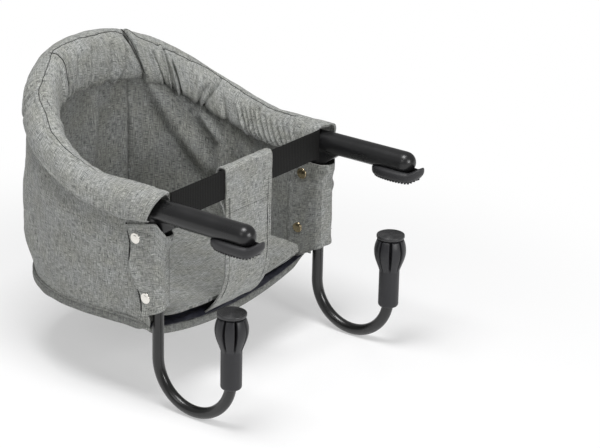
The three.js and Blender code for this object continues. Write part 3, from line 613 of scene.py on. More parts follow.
# %% [markdown]
# ## The rubber table pads
# Under each arm sits an oval rubber shoe. Its front edge turns up ahead of the arm's nose, and
# short teeth run round its foot. The shoe is fused and hollowed for the arm, and the teeth are
# set along the oval by Geometry Nodes, because they repeat at an even pitch.

# %% Pads
PAD_FRONT = -49
PAD_BACK = 33
PAD_RADIUS = 20
PAD_MIDDLE = (PAD_FRONT + PAD_BACK) / 2
PAD_HALF = (PAD_BACK - PAD_FRONT) / 2
LIP_RISE = 15.5
LIP_LENGTH = 19
HEEL_RISE = 4
HEEL_START = 24
HEEL_LENGTH = 9
RIM_HEIGHT = 18
RIM_RISE = 8
RIM_LENGTH = 16
RIM_FALL = 2.4
RIM_FALL_START = 8
RIM_FALL_LENGTH = 25
SHOE_SIDES = 44
SHOE_VOXEL = 0.8
NOSE_ROOM = 7
ARM_ROOM = 0.2
HOLE_BACK = 150


def shoe_width(y):
    """Half the shoe's width at a depth: an oval with full sides."""
    share = min(abs(y - PAD_MIDDLE) / PAD_HALF, 1)
    return PAD_RADIUS * (1 - share ** 2.5) ** (1 / 2.2)


def shoe_foot(y):
    """Height of the shoe's underside: flat, with its front turned up like a ski."""
    lip = max(0, (PAD_FRONT + LIP_LENGTH - y) / LIP_LENGTH)
    heel = max(0, (y - HEEL_START) / HEEL_LENGTH)
    return LIP_RISE * lip ** 1.7 + HEEL_RISE * heel ** 2


def shoe_rim(y):
    """Height of the shoe's rim, which climbs ahead of the arm's nose."""
    front = max(0, (PAD_FRONT + RIM_LENGTH - y) / RIM_LENGTH)
    rear = max(0, (y - RIM_FALL_START) / RIM_FALL_LENGTH)
    return RIM_HEIGHT + RIM_RISE * front ** 1.2 - RIM_FALL * rear ** 2


def shoe_rings():
    """Cross sections of the shoe from its back to its front lip."""
    rings = []
    ends = 1 - np.geomspace(0.002, 1, 34)
    angle = circle(SHOE_SIDES)
    c, s = np.cos(angle), np.sin(angle)
    round_foot = np.where(s < 0, 0.92, 0.6)
    for share in np.concatenate([-ends, ends[::-1][1:]]):
        y = PAD_MIDDLE - PAD_HALF * share
        half = max(shoe_width(y), 0.2)
        low, high = shoe_foot(y), shoe_rim(y)
        x = -HALF_SPAN + half * np.sign(c) * np.abs(c) ** 0.72
        z = (low + high) / 2 + (high - low) / 2 * np.sign(s) * np.abs(s) ** round_foot
        rings.append(np.column_stack([x, np.full(SHOE_SIDES, y), z]))
    return np.array(rings)


arm_hole = capsule(GRIP_RADIUS + ARM_ROOM, ARM_TIP - NOSE_ROOM, HOLE_BACK)
left_shoe = fused("left_shoe", [shoe_rings()], SHOE_VOXEL, pad_rubber, smoothing=3,
                  holes=[arm_hole])
right_shoe = mirror_of(left_shoe, "right_shoe")
wear(left_shoe, "left_frame", "rubber_pad", "left_table_pad")
wear(right_shoe, "right_frame", "rubber_pad", "right_table_pad")
print("shoe vertices:", len(left_shoe.data.vertices))

# %% [markdown]
# ## A tree that repeats a small form along a path
# Teeth and stitches are the same idea: one small mesh set at an even pitch along a line and
# turned to follow it. The tree's inputs are the form's length, width and height, the pitch, and
# the material. It ends by making the copies real, so that they survive an export.

# %% Geometry Nodes tree
def repeat_tree(name, shape):
    """A tree that sets a block or a bead along the edges of its mesh."""
    tree = bpy.data.node_groups.new(name, "GeometryNodeTree")
    face = tree.interface
    face.new_socket("Geometry", in_out="INPUT", socket_type="NodeSocketGeometry")
    for label in ("Length", "Width", "Height", "Pitch"):
        face.new_socket(label, in_out="INPUT", socket_type="NodeSocketFloat")
    face.new_socket("Material", in_out="INPUT", socket_type="NodeSocketMaterial")
    face.new_socket("Geometry", in_out="OUTPUT", socket_type="NodeSocketGeometry")
    given = put(tree, "NodeGroupInput").outputs
    curve = put(tree, "GeometryNodeMeshToCurve", {"Mesh": given["Geometry"]})
    even = put(tree, "GeometryNodeResampleCurve", {
        "Curve": curve.outputs[0], "Length": given["Pitch"],
    }, mode="LENGTH")
    size = put(tree, "ShaderNodeCombineXYZ", {
        0: given["Length"], 1: given["Width"], 2: given["Height"],
    })
    if shape == "block":
        form = put(tree, "GeometryNodeMeshCube", {"Size": size.outputs[0]}).outputs["Mesh"]
    else:
        ball = put(tree, "GeometryNodeMeshUVSphere", {"Segments": 6, "Rings": 4, "Radius": 0.5})
        form = put(tree, "GeometryNodeTransform", {
            "Geometry": ball.outputs["Mesh"], "Scale": size.outputs[0],
        }).outputs[0]
    tangent = put(tree, "GeometryNodeInputTangent")
    turn = put(tree, "FunctionNodeAlignEulerToVector", {"Vector": tangent.outputs[0]},
               axis="X", pivot_axis="Z" if shape == "block" else "AUTO")
    copies = put(tree, "GeometryNodeInstanceOnPoints", {
        "Points": even.outputs[0], "Instance": form, "Rotation": turn.outputs[0],
    })
    real = put(tree, "GeometryNodeRealizeInstances", {"Geometry": copies.outputs[0]})
    painted = put(tree, "GeometryNodeSetMaterial", {
        "Geometry": real.outputs[0], "Material": given["Material"],
    })
    put(tree, "NodeGroupOutput", {"Geometry": painted.outputs[0]})
    return tree


block_tree = repeat_tree("blocks_along_a_path", "block")
bead_tree = repeat_tree("stitches_along_a_path", "bead")


def repeated(name, lines, tree, length, width, height, pitch, material):
    """A plain mesh of small forms along one or more lines of points in millimetres."""
    points = np.vstack(lines)
    edges = []
    start = 0
    for line in lines:
        edges += [(start + k, start + k + 1) for k in range(len(line) - 1)]
        start += len(line)
    path = bpy.data.meshes.new(name + "_path")
    path.from_pydata((points * METRE).tolist(), edges, [])
    obj = placed(name, path)
    modifier = obj.modifiers.new("repeat", "NODES")
    modifier.node_group = tree
    values = {"Length": length * METRE, "Width": width * METRE, "Height": height * METRE,
              "Pitch": pitch * METRE, "Material": material}
    for item in tree.interface.items_tree:
        if item.in_out == "INPUT" and item.name in values:
            modifier[item.identifier] = values[item.name]
    mesh = evaluated_mesh(obj, name)
    bpy.data.meshes.remove(path)
    print(name, len(mesh.polygons), "faces")
    return obj


TOOTH_LENGTH = 2.6
TOOTH_WIDTH = 3.6
TOOTH_HEIGHT = 2.8
TOOTH_PITCH = 4.4
TOOTH_LIFT = 1.5
TOOTH_INSET = 5.6
TOOTH_END_INSET = 7


def teeth_line():
    """The oval on which the teeth stand, just inside the shoe's foot."""
    turn = np.linspace(0, 2 * np.pi, 120)
    c = np.cos(turn)
    x = -HALF_SPAN + c * (PAD_RADIUS - TOOTH_INSET) * np.abs(c) ** -0.2
    y = PAD_MIDDLE + TOOTH_LIFT + (PAD_HALF - TOOTH_END_INSET) * np.sin(turn)
    return np.column_stack([x, y, [TOOTH_LIFT + shoe_foot(depth) for depth in y]])


for side, place in SIDES.items():
    teeth = repeated(f"{side}_shoe_teeth", [place(teeth_line())], block_tree, TOOTH_LENGTH,
                     TOOTH_WIDTH, TOOTH_HEIGHT, TOOTH_PITCH, pad_rubber)
    wear(teeth, f"{side}_frame", "rubber_pad")

# %% [markdown]
# ## The clamp knobs and their rubber discs
# A knob is a long sleeve that slides on the tube's end, with eight swelling lobes above for the
# hand. It is drawn as one turned surface, bore and all, whose radius changes with the angle. The
# disc on top is turned too, with the fine rings that stop it slipping on the table's underside.

# %% Knobs and discs
KNOB_TOP = -91.3
SLEEVE_BOTTOM = -194.6
LOBE_COUNT = 8
LOBE_LENGTH = 50
GROOVE_ANGLE = 8.9
SLEEVE_RADIUS = 14.5
KNOB_SHOULDER = 18.2
LOBE_SWELL = 6.2
GROOVE_DEPTH = 1.6
BORE_TOP = -110.6
BORE_RADIUS = 8.8
DISC_TOP = -85
RING_PITCH = 2.3


def knob_rings():
    """Rings of the knob, from the sleeve's foot to its top."""
    angle = circle(LOBE_COUNT * 22)
    turned = angle - np.radians(GROOVE_ANGLE)
    phase = np.abs((turned * LOBE_COUNT / (2 * np.pi) + 0.5) % 1 - 0.5)
    lobe = smooth_step(0.05, 0.13, phase)
    foot = [(4.6, BORE_TOP), (BORE_RADIUS, BORE_TOP), (BORE_RADIUS, SLEEVE_BOTTOM + 14),
            (9.4, SLEEVE_BOTTOM), (11.2, SLEEVE_BOTTOM), (13.2, SLEEVE_BOTTOM + 0.9),
            (14.2, SLEEVE_BOTTOM + 2.4), (SLEEVE_RADIUS, SLEEVE_BOTTOM + 4.5)]
    rings = [(np.full(len(angle), r), z) for r, z in foot]
    low = KNOB_TOP - LOBE_LENGTH
    rings.append((np.full(len(angle), SLEEVE_RADIUS), low - 2))
    for share in np.linspace(0, 1, 34):
        end = KNOB_SHOULDER * share + (SLEEVE_RADIUS - 0.4) * (1 - share)
        bulge = end + LOBE_SWELL * np.sin(np.pi * share ** 1.25)
        groove = SLEEVE_RADIUS - GROOVE_DEPTH * smooth_step(0.02, 0.2, share)
        radius = groove + lobe * np.maximum(bulge - groove, 0)
        z = low + LOBE_LENGTH * share
        rings.append((radius, min(z, KNOB_TOP - 1.2)))
    rings.append((np.full(len(angle), 16.6), KNOB_TOP - 0.3))
    rings.append((np.full(len(angle), 15.0), KNOB_TOP))
    rings.append((np.full(len(angle), 2.0), KNOB_TOP))
    return np.array([np.column_stack([-HALF_SPAN + r * np.cos(angle), r * np.sin(angle),
                                      np.full(len(angle), z)]) for r, z in rings])


def disc_profile():
    """Radius and height of the rubber disc, from under its rim to the middle of its top."""
    shape = [(2, -5.8), (18.4, -5.8), (19.6, -5), (20, -3.8), (20, -1.4), (19.6, -0.5), (18.8, -0.1),
             (18, -0.3)]
    for r in np.arange(17.4, 1.0, -0.35):
        shape.append((r, -0.75 - 0.28 * np.cos(2 * np.pi * r / RING_PITCH)))
    shape.append((0.6, -0.9))
    return [(r, DISC_TOP + z) for r, z in shape]


for side, place in SIDES.items():
    knob = skin(f"{side}_knob_body", place(knob_rings()), knob_nylon)
    wear(knob, f"{side}_knob", "knob_plastic", f"{side}_clamp_knob")
    disc = skin(f"{side}_disc", place(lathe(disc_profile(), (-HALF_SPAN, 0), 72)), disc_rubber)
    wear(disc, f"{side}_clamp", "rubber_pad", f"{side}_rubber_cap")

# %% [markdown]
# ## The run of the rim
# Everything sewn follows one line: the bent hoop, seen from above, with straight sides that run
# into a rounded back. The rim climbs towards the back. The functions below walk along that line
# by distance and say where it is, which way is out and how high the hoop lies there.

# %% The rim's line
SEAT_DEPTH = 419
SIDE_BULGE = 4
SPLAY_START = 178
STRAIGHT_END = 237
RISE_START = 195
RISE_HEIGHT = 115
PLAN_EXPONENT = 2.3
RUN_START = 95
SEAM_HALF = 75
SEAT_BOTTOM = -144
LOOK = 1.5


def plan_points():
    """The left half of the plan, from its front to the middle of the back."""
    depth = np.linspace(RUN_START, STRAIGHT_END, 500, endpoint=False)
    splay = np.maximum((depth - SPLAY_START) / (STRAIGHT_END - SPLAY_START), 0)
    straight = np.column_stack([-HALF_SPAN - SIDE_BULGE * splay, depth])
    angle = np.linspace(0, np.pi / 2, 1500)
    power = 2 / PLAN_EXPONENT
    bend = np.column_stack([
        -(HALF_SPAN + SIDE_BULGE) * np.cos(angle) ** power,
        STRAIGHT_END + (SEAT_DEPTH - STRAIGHT_END) * np.sin(angle) ** power,
    ])
    return np.vstack([straight, bend])


def hoop_height(depth):
    """Height of the hoop's middle at a depth."""
    share = np.clip((depth - RISE_START) / (SEAT_DEPTH - RISE_START), 0, None)
    return ARM_HEIGHT + RISE_HEIGHT * share ** 2


half_plan = plan_points()
half_gone = walked(half_plan)
HALF_RUN = half_gone[-1]


def along_rim(distance):
    """Place, outward direction, hoop height and slope factor at distances along the rim."""
    s = np.asarray(distance, float)
    fold = np.where(s > HALF_RUN, 2 * HALF_RUN - s, s)
    sign = np.where(s > HALF_RUN, -1.0, 1.0)

    def at(f):
        return np.column_stack([np.interp(f, half_gone, half_plan[:, k]) for k in (0, 1)])

    here = at(fold)
    before = at(np.maximum(fold - LOOK, 0))
    after = at(np.minimum(fold + LOOK, HALF_RUN))
    ahead = after - before
    step = np.linalg.norm(ahead, axis=1)
    ahead /= step[:, None]
    out = np.column_stack([-ahead[:, 1], ahead[:, 0]])
    climb = (hoop_height(after[:, 1]) - hoop_height(before[:, 1])) / step
    here[:, 0] *= sign
    out[:, 0] *= sign
    return here, out, hoop_height(here[:, 1]), np.hypot(1, climb)


SEAM_RUN = float(np.interp(-SEAM_HALF, half_plan[500:, 0], half_gone[500:]))
print("rim length", round(2 * HALF_RUN), "seam at", round(SEAM_RUN))


def on_rim(distances, sections):
    """Rings of points from sections of outward and upward distances at each station."""
    here, out, _, _ = along_rim(distances)
    rings = []
    for k, section in enumerate(sections):
        u, z = np.asarray(section, float).T
        rings.append(np.column_stack([here[k, 0] + out[k, 0] * u, here[k, 1] + out[k, 1] * u, z]))
    return np.array(rings)


# %% [markdown]
# ## The padded hems
# The rim is wadding in a cloth sleeve that hangs over the hoop like an upturned U, in three
# lengths joined by seams at the back corners. Wadding gives soft, uneven swelling, the seams
# draw it in, and the sleeve creases where the hoop turns. Each length is a run of soft sections
# whose outside is moved by gentle waves and drawn in at the seams.

# %% Hems
HEM_POINTS = 132
HEM_FRONT = 110 - RUN_START
BACK_END = 2 * HALF_RUN - SEAM_RUN
FULL_OUTER_DROP = 30.6
FULL_INNER_DROP = 35.4
HEM_RUNS = [15, 60, 85, 110, 140, 165, 195, 230, 265, 320, 361, 412, 437]
OUTER_DROPS = [12, 17, 18, 13, 10, 7, 5, 7, 11, 14, 15, 16, 16]
INNER_DROPS = [18, 18, 18, 18, 18, 18, 19, 20, 21, 26, 36, 47, 49]
SEAM_LEAN = 27
SEAM_GAP = 0.2
BUSY_REACH = 11
BUSY_STEP = 0.8
END_ROOM = 0.4
SMALLEST_STEP = 0.65

HEM_OUTER = [(18.0, -30.6), (25.0, -26), (27.6, -14), (26.8, 2), (23.0, 14.5), (13.0, 24.4),
             (0, 27.4), (-11.5, 24.0), (-19.5, 13.5), (-23.4, -2), (-24.6, -18), (-22.8, -30),
             (-18.0, -35.4)]
HEM_END = [(-17.4, -32.0), (-21.0, -20), (-20.8, -3), (-17.4, 10.4), (-10.4, 20.8), (0, 25.0),
           (11.4, 21.4), (20.6, 11.4), (24.4, -3), (23.4, -20), (17.4, -28.6)]


def hem_drop(distance, side):
    """How far the hem hangs below the hoop on its outer or inner side."""
    drops = OUTER_DROPS if side == "outer" else INNER_DROPS
    return np.interp(np.minimum(distance, 2 * HALF_RUN - distance), HEM_RUNS, drops)


def hem_outline(arch, thin, outer_drop, inner_drop):
    """The hem's section: round its outside, then back through the arch that clears the hoop.

    Where thin is 1 the wadding has ended and only the cloth sleeve is left.
    """
    a = arch
    full = [(-14.5, -35.0), (-a, -26), (-a, -2), (-0.9 * a, 0.5 * a), (-0.5 * a, 0.9 * a), (0, a),
            (0.5 * a, 0.9 * a), (0.9 * a, 0.5 * a), (a, -2), (a, -21), (14.5, -30.0)]
    inner = [(1 - thin) * np.array(f) + thin * np.array(e) for f, e in zip(full, HEM_END)]
    outline = rounded(HEM_OUTER + [tuple(p) for p in inner], HEM_POINTS)
    u, v = outline.T
    shrink = np.where(u > 0, outer_drop / FULL_OUTER_DROP, inner_drop / FULL_INNER_DROP)
    return np.column_stack([u, np.where(v < 0, v * shrink, v)])


def stations(start, end, step, busy):
    """Distances along the rim, closer together at the busy places."""
    marks = [np.linspace(start, end, int((end - start) / step))]
    for place in busy:
        near = np.arange(place - BUSY_REACH, place + BUSY_REACH, BUSY_STEP)
        marks.append(near[(near > start + END_ROOM) & (near < end - END_ROOM)])
    kept = [start]
    for mark in np.sort(np.concatenate(marks)):
        if mark > kept[-1] + SMALLEST_STEP:
            kept.append(mark)
    kept[-1] = end
    return np.array(kept)


FOLD_OFFSETS = [-14, -10, -6.4, -4.1, 1.6, 6.3, 9]
FOLD_RUNS = [250, 257, 265, 272, 281, 288, 291]
FOLD_MIDDLE = 272
ARCH = 10.8
ARCH_WIDER = 6.4
STATION_STEP = 2.6
SLANT_START = 110
SLANT_END = 180
SLANT_OUTSIDE = 16
SLANT_INSIDE = 14


def swelling(s, around, inner, seed):
    """The soft unevenness of the wadding, in long and short waves."""
    return (0.9 * ripple(s, around * 160, 62, seed)
            + 0.5 * ripple(s, around * 160, 22, seed + 1)
            + inner * 1.1 * ripple(s, around * 30, 19, seed + 2))


def drawn_in(s, around, u, inner, seams):
    """How deep the seams draw the hem in, with a groove and small puckers beside it."""
    top = 1 - smooth_step(-9, 3, u)
    total = 0
    for place, hollow, reach, cut in seams:
        near = abs(s - place)
        pucker = 0.9 * hump(near - 9, 9) * ripple(s * 0.25, around * 160, 13, 77)
        total = total + top * (hollow * hump(near, reach) + cut * hump(near, 1.8))
        total = total + 0.7 * hump(near, 1.6) + inner * pucker
    return total


def sharp_fold(s, u, v, width, deep):
    """The one sharp fold that crosses the near hem on a slant: raised before, sunk behind."""
    past = s - np.interp(u, FOLD_OFFSETS, FOLD_RUNS)
    part = deep * (1 - smooth_step(7, 12, u)) * smooth_step(-2, 12, v)
    behind = smooth_step(-0.7, 0.7, past)
    raised = 0.45 * (1 - behind) * np.exp(np.minimum(past, 0) / width)
    sunk = 0.55 * behind * np.exp(-np.maximum(past, 0) / width)
    return part * (sunk - raised)


def creased(s, u, v, inner, pleats):
    """How deep the pleats crease the hem, each with a low swell beside it."""
    parts = {"in": inner * (1 - smooth_step(2, 23, v)), "top": inner, "out": 1 - inner}
    total = 0
    for place, width, deep, side, tilt in pleats:
        if side == "fold":
            total = total + sharp_fold(s, u, v, width, deep)
            continue
        away = s - place - tilt * (v - 5) / 30
        beside = hump(away - 2.4 * width, 1.6 * width)
        total = total + deep * parts[side] * (hump(away, width) - 0.45 * beside)
    return total


def slanted(depth, u, v):
    """How far back the hem's front end is cut: more at its lower edges than on its crown."""
    share = max(0, SLANT_END - depth) / (SLANT_END - SLANT_START)
    fall = np.clip((27 - v) / 39, 0, 1)
    outside = SLANT_OUTSIDE * fall ** 0.9 * smooth_step(-6, 8, u)
    return share * (outside + SLANT_INSIDE * smooth_step(2, 13, -u))


def hem_rings(start, end, seed, near_arm, pleats, seams, lean):
    """Distances and rings of one length of hem.

    Pleats are places with a width, a depth, a side and a lean. Seams are places with the depth
    and reach of their hollow and the depth of the groove in it. lean is how far the far seam
    moves forward on its way down the inside.
    """
    busy = [start, end] + [pleat[0] for pleat in pleats]
    if any(pleat[3] == "fold" for pleat in pleats):
        busy += FOLD_RUNS
    distances = stations(start, end, STATION_STEP, busy)
    here, _, _, slope = along_rim(distances)
    around = np.arange(HEM_POINTS) / HEM_POINTS
    rings = []
    for k, s in enumerate(distances):
        depth = here[k, 1]
        wide = 1 - smooth_step(146, 170, depth) if near_arm else 0
        thin = 1 - smooth_step(112, 146, depth) if near_arm else 0
        plain = hem_outline(ARCH + ARCH_WIDER * wide, thin, hem_drop(s, "outer"),
                            hem_drop(s, "inner"))
        u, v = plain.T
        outside = smooth_step(15.5, 20, np.hypot(u, v * np.where(v < 0, 1.9, 1)))
        inner = 1 - smooth_step(-13, -2, u)
        move = outside * (swelling(s, around, inner, seed) * (1 - 0.6 * thin)
                          - drawn_in(s, around, u, inner, seams) - creased(s, u, v, inner, pleats))
        section = plain * (1 + move / np.maximum(np.hypot(u, v), 1))[:, None]
        fall = np.clip((24 - v) / 50, 0, 1) * inner
        there, out, level, _ = along_rim(s + lean * fall * hump(s - SEAM_RUN, 60))
        ring = np.column_stack([there + out * section[:, :1], level + section[:, 1] * slope[k]])
        if near_arm:
            ring[:, 1] += slanted(depth, *section.T)
        rings.append(ring)
    return distances, np.array(rings)


NEAR_PLEATS = [
    (FOLD_MIDDLE, 11, 6.0, "fold", 0), (282, 1.7, 1.8, "out", -12), (289, 1.6, 2.2, "out", -3),
    (297, 1.9, 2.0, "out", 9), (306, 2.6, 1.6, "out", 14), (344, 3.0, 3.4, "in", 4),
    (240, 4.0, 2.6, "in", -8), (206, 4.4, 2.6, "in", 10), (150, 3.4, 1.6, "out", -14),
]
BACK_PLEATS = [
    (SEAM_RUN + 12, 2.6, 8.5, "top", -2), (SEAM_RUN + 40, 4.0, 3.4, "in", 6),
    (435, 3.6, 4.4, "in", 5), (BACK_END - 40, 4.4, 3.6, "in", 8),
    (BACK_END - 15, 2.6, 4.6, "in", 14),
]
FAR_PLEATS = [
    (322, 3.0, 4.0, "in", 10), (296, 1.8, 4.4, "top", 6), (283, 2.2, 9.5, "in", 12),
    (231, 3.0, 6.4, "in", -12), (219, 2.4, 5.0, "top", -16), (196, 4.0, 3.0, "in", 8),
    (161, 2.0, 5.6, "in", 20), (151, 1.8, 4.6, "in", 20), (142, 2.0, 5.6, "in", 22),
    (132, 1.8, 4.4, "top", 22), (122, 2.0, 5.0, "top", 20), (112, 1.9, 4.4, "top", 22),
    (102, 2.0, 4.2, "in", 20), (91, 2.2, 4.0, "in", 18), (80, 2.0, 3.4, "in", 16),
    (69, 2.0, 3.4, "top", 18), (57, 2.2, 3.0, "top", 16),
]


def soft_blend(made):
    """Bake a piece's transform into its mesh, in metres."""
    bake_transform(made)


def back_rings():
    """The back hem, whose far seam leans forward and whose near seam stands straight."""
    mirrored = [(2 * HALF_RUN - p, w, d, side, -tilt) for p, w, d, side, tilt in BACK_PLEATS]
    distances, rings = hem_rings(
        SEAM_RUN + SEAM_GAP, BACK_END - SEAM_GAP, 21, False, mirrored,
        [(SEAM_RUN, 4.2, 15, 4.0), (BACK_END, 6.0, 5, 0.0)], -SEAM_LEAN)
    return (2 * HALF_RUN - distances)[::-1], far_side(rings)[::-1]


hems = {
    "near": hem_rings(HEM_FRONT, SEAM_RUN - SEAM_GAP, 5, True, NEAR_PLEATS,
                      [(SEAM_RUN, -1.6, 14, 0.6)], 0),
    "back": back_rings(),
    "far": hem_rings(HEM_FRONT, SEAM_RUN - SEAM_GAP, 47, True, FAR_PLEATS,
                     [(SEAM_RUN, -3.6, 15, 4.0)], -SEAM_LEAN),
}
for part, (side, place) in PARTS.items():
    hem = skin(f"{part}_hem_pad", place(hems[part][1]), heather_cloth)
    wear(hem, "seat" if part == "back" else None, "heather_cloth", f"{side}_hem")
    if part != "back":
        soft_blend(hem)
    print(part, "hem vertices:", len(hem.data.vertices))

# %% [markdown]
# ## The ridge and seams on the hem
# Along the top of the rim the two halves of the sleeve meet in a narrow felled seam that stands
# up a little. It is a thin rounded strip that follows the crown with a slight wander. The shadow
# at the ridge's foot, in each tight seam and along the sharp fold is painted: a close row of
# near-black beads laid where there is only shade.

# %% Hem ridge and seams
NEAR_RUNS = [15, 60, 100, 125, 146, 165, 186, 202, 222, 240, 253, 271, 286, 291, 300, 319, 343, 361,
             367, 386, 417, 444, 479, 513]
NEAR_OFFSETS = [-4, -5, -5, -3, 0.6, 1, 3.6, 4.9, 6.9, 4.5, 3.2, 6.5, 7.2, 6.5, 2.5, -1, -1.6, 2,
                2.9, -1, -7.6, -8.7, -7.6, -3]
FAR_RUNS = [15, 60, 120, 232, 254, 271, 293, 308, 330, 351, 361]
FAR_OFFSETS = [-2, -2, -1, 0.3, -6, -8, -10.5, -11, -10.5, -9, -3]
RIDGE_SECTION = rounded([(-1.6, -2.8), (-1.5, 0.2), (-0.6, 1.2), (1.2, 1.1), (3.2, 0.3),
                         (4.2, -1.6), (4.0, -2.8)], 16)
SHADOW_BEAD_LENGTH = 3.4
SHADOW_LINE_SIDE = -2.2
SHADOW_LINE_LIFT = 0.1
SHADOW_LINE_START = 75
SEAM_PLACE = (0.5, 0.4, 0.3)


def skin_height(hem, places, offsets):
    """Height of a hem's skin at places along the rim and offsets from its middle."""
    distances, rings = hem
    here, out, height, slope = along_rim(distances)
    wanted = np.interp(distances, places, offsets)
    levels = []
    for k, ring in enumerate(rings):
        across = (ring[:, :2] - here[k]) @ out[k]
        top = ring[:, 2] > height[k] + 19 * slope[k]
        order = np.argsort(across[top])
        levels.append(np.interp(wanted[k], across[top][order], ring[top][order, 2]))
    return np.interp(places, distances, levels)


def ridge_line(hem, start, end, runs, offsets, shift=0, lift=0):
    """Points along the ridge on a hem's skin."""
    places = np.arange(start, end, 2.5)
    offset = np.interp(places, runs, offsets) + 0.35 * ripple(places, 0, 17, 5) + shift
    here, out, _, _ = along_rim(places)
    height = skin_height(hem, places, offset) + lift
    return np.column_stack([here + out * offset[:, None], height]), out


def ridge_rings(line, out):
    """Rings of the felled seam along a line on the hem's skin."""
    aside, above = RIDGE_SECTION.T
    return np.array([
        np.column_stack([point[0] + away[0] * aside, point[1] + away[1] * aside, point[2] + above])
        for point, away in zip(line, out)
    ])


def seam_skin(part):
    """The end of a hem's skin at its back seam, over the crown and down the inside."""
    u, v = hem_outline(ARCH, 0, 20, 20).T
    return hems[part][1][-1][(np.hypot(u, v) > 20) & (u < 3) & (v > -14)]


def fold_line():
    """The foot of the sharp fold in the near hem."""
    offsets = np.linspace(6.5, -13, 40)
    places = np.interp(offsets, FOLD_OFFSETS, FOLD_RUNS)
    order = np.argsort(places)
    places, offsets = places[order], offsets[order]
    here, out, _, _ = along_rim(places + 0.9)
    height = skin_height(hems["near"], places - 0.4, offsets) - 0.5
    return np.column_stack([here + out * offsets[:, None], height])


def painted_shadow_lines(name, lines, thick, pitch):
    """Painted shadow: close rows of near-black beads laid where a seam, fold or edge is in shade."""
    threads = repeated(name, lines, bead_tree, SHADOW_BEAD_LENGTH, thick, thick, pitch, seam_shadow_paint)
    wear(threads, "seat", "heather_cloth")


RIDGES = {
    "near": (HEM_FRONT + 2, SEAM_RUN - 1, NEAR_RUNS, NEAR_OFFSETS),
    "back": (SEAM_RUN + 1, BACK_END - 1, NEAR_RUNS, NEAR_OFFSETS),
    "far": (HEM_FRONT + 2, SEAM_RUN - 1, FAR_RUNS, FAR_OFFSETS),
}
hem_shadow_lines = []
for part, (side, place) in PARTS.items():
    start, end, runs, offsets = RIDGES[part]
    strip = skin(f"{part}_hem_ridge", place(ridge_rings(*ridge_line(hems[part], *RIDGES[part]))),
                 heather_cloth)
    wear(strip, "seat" if part == "back" else None, "heather_cloth")
    if part != "back":
        soft_blend(strip)
    # Painted shadow: this line of near-black beads runs along the ridge's inner foot.
    thread, _ = ridge_line(hems[part], max(start, SHADOW_LINE_START), end, runs, offsets, SHADOW_LINE_SIDE,
                           SHADOW_LINE_LIFT)
    hem_shadow_lines.append(place(thread))
hem_shadow_lines.append(far_side(seam_skin("far")))
# Painted shadow along the ridges, the two back seams and the sharp fold.
painted_shadow_lines("hem_ridge_threads", hem_shadow_lines, 1.15, 1.7)
painted_shadow_lines("hem_seam_threads", [seam_skin("near") + SEAM_PLACE, fold_line()], 1.9, 1.7)

# %% [markdown]
# ## The panels
# Below the hem the bucket is two layers of cloth: the outer panels hang taut to a bound edge, and
# the linings fall in soft vertical folds, deepest beside the back corner seams. Each is a thin
# sheet with real thickness, cut to follow the rim.

# %% Outer panels and linings
CLOTH = 1.6
OUTER_OFFSET = 12.4
FOOT_REACH = 9
FOOT_REACH_TOP = -114
PANEL_STEP = 3.4
TUCK = 4
SHEET_OUT = OUTER_OFFSET + CLOTH / 2 + 0.6
OUTWARD = np.array([1.0, 0])


def panel_rings(start, end, offset_at, foot, drop):
    """Rings of a hanging sheet. offset_at gives its middle's distance out from the rim's line.

    Below the corner flap the sheet's front edge reaches forward to the steel upright.
    """
    distances = np.linspace(start, end, int((end - start) / PANEL_STEP))
    _, _, height, slope = along_rim(distances)
    tops = height - hem_drop(distances, drop) * slope + TUCK
    share = np.linspace(0, 1, 46)
    sections = []
    for s, top in zip(distances, tops):
        z = foot + (top - foot) * share
        middle = np.column_stack([offset_at(s, share, z), z])
        sections.append(two_faced(middle, OUTWARD, CLOTH / 2))
    rings = on_rim(distances, sections)
    low = np.clip((FOOT_REACH_TOP - rings[:, :, 2]) / 12, 0, 1)
    near = 1 - smooth_step(start, start + 34, distances)
    rings[:, :, 1] -= FOOT_REACH * low * near[:, None]
    return rings


def draped(s, z, folds):
    """Folds that run between two places, each given as run, height, run, height, size, width."""
    total = 0 * z
    for s0, z0, s1, z1, size, width in folds:
        length = (s1 - s0) ** 2 + (z1 - z0) ** 2
        share = np.clip(((s - s0) * (s1 - s0) + (z - z0) * (z1 - z0)) / length, 0, 1)
        away = np.hypot(s - s0 - share * (s1 - s0), z - z0 - share * (z1 - z0))
        total = total + size * np.sin(np.pi * np.clip(share, 0.02, 0.98)) ** 0.5 * hump(away, width)
    return total


def outer_offset(seed, seams, folds):
    """The outer panel: tucked in under the hem, then full, then drawn to the bound edge."""
    seen = np.linspace(0, 2 * HALF_RUN, 400)
    _, _, rim_height, rim_slope = along_rim(seen)
    tops = rim_height - hem_drop(seen, "outer") * rim_slope

    def at(s, share, z):
        below = np.interp(s, seen, tops) - z
        held = np.sin(np.pi * np.clip(share, 0, 1)) ** 0.8 * smooth_step(0, 30, below)
        slack = (3.2 * ripple(s, z * 0.8, 118, seed) + 1.3 * ripple(s, z * 0.7, 46, seed + 1)
                 + 0.4 * ripple(s, z, 19, seed + 2))
        from_front = min(s, 2 * HALF_RUN - s)
        corner = hump(from_front - 300, 75)
        full = 4.5 * smooth_step(8, 46, below) + 6.5 * corner * smooth_step(3, 14, below)
        full = full * smooth_step(0, 70, z - SEAT_BOTTOM)
        seam = sum(2.2 * hump(s - place, 4) for place in seams)
        front = smooth_step(PANEL_START, PANEL_START + 45, from_front)
        folded = draped(s, z, folds) * smooth_step(2, 16, below)
        return SHEET_OUT + (held * slack + full + folded) * front - seam

    return at


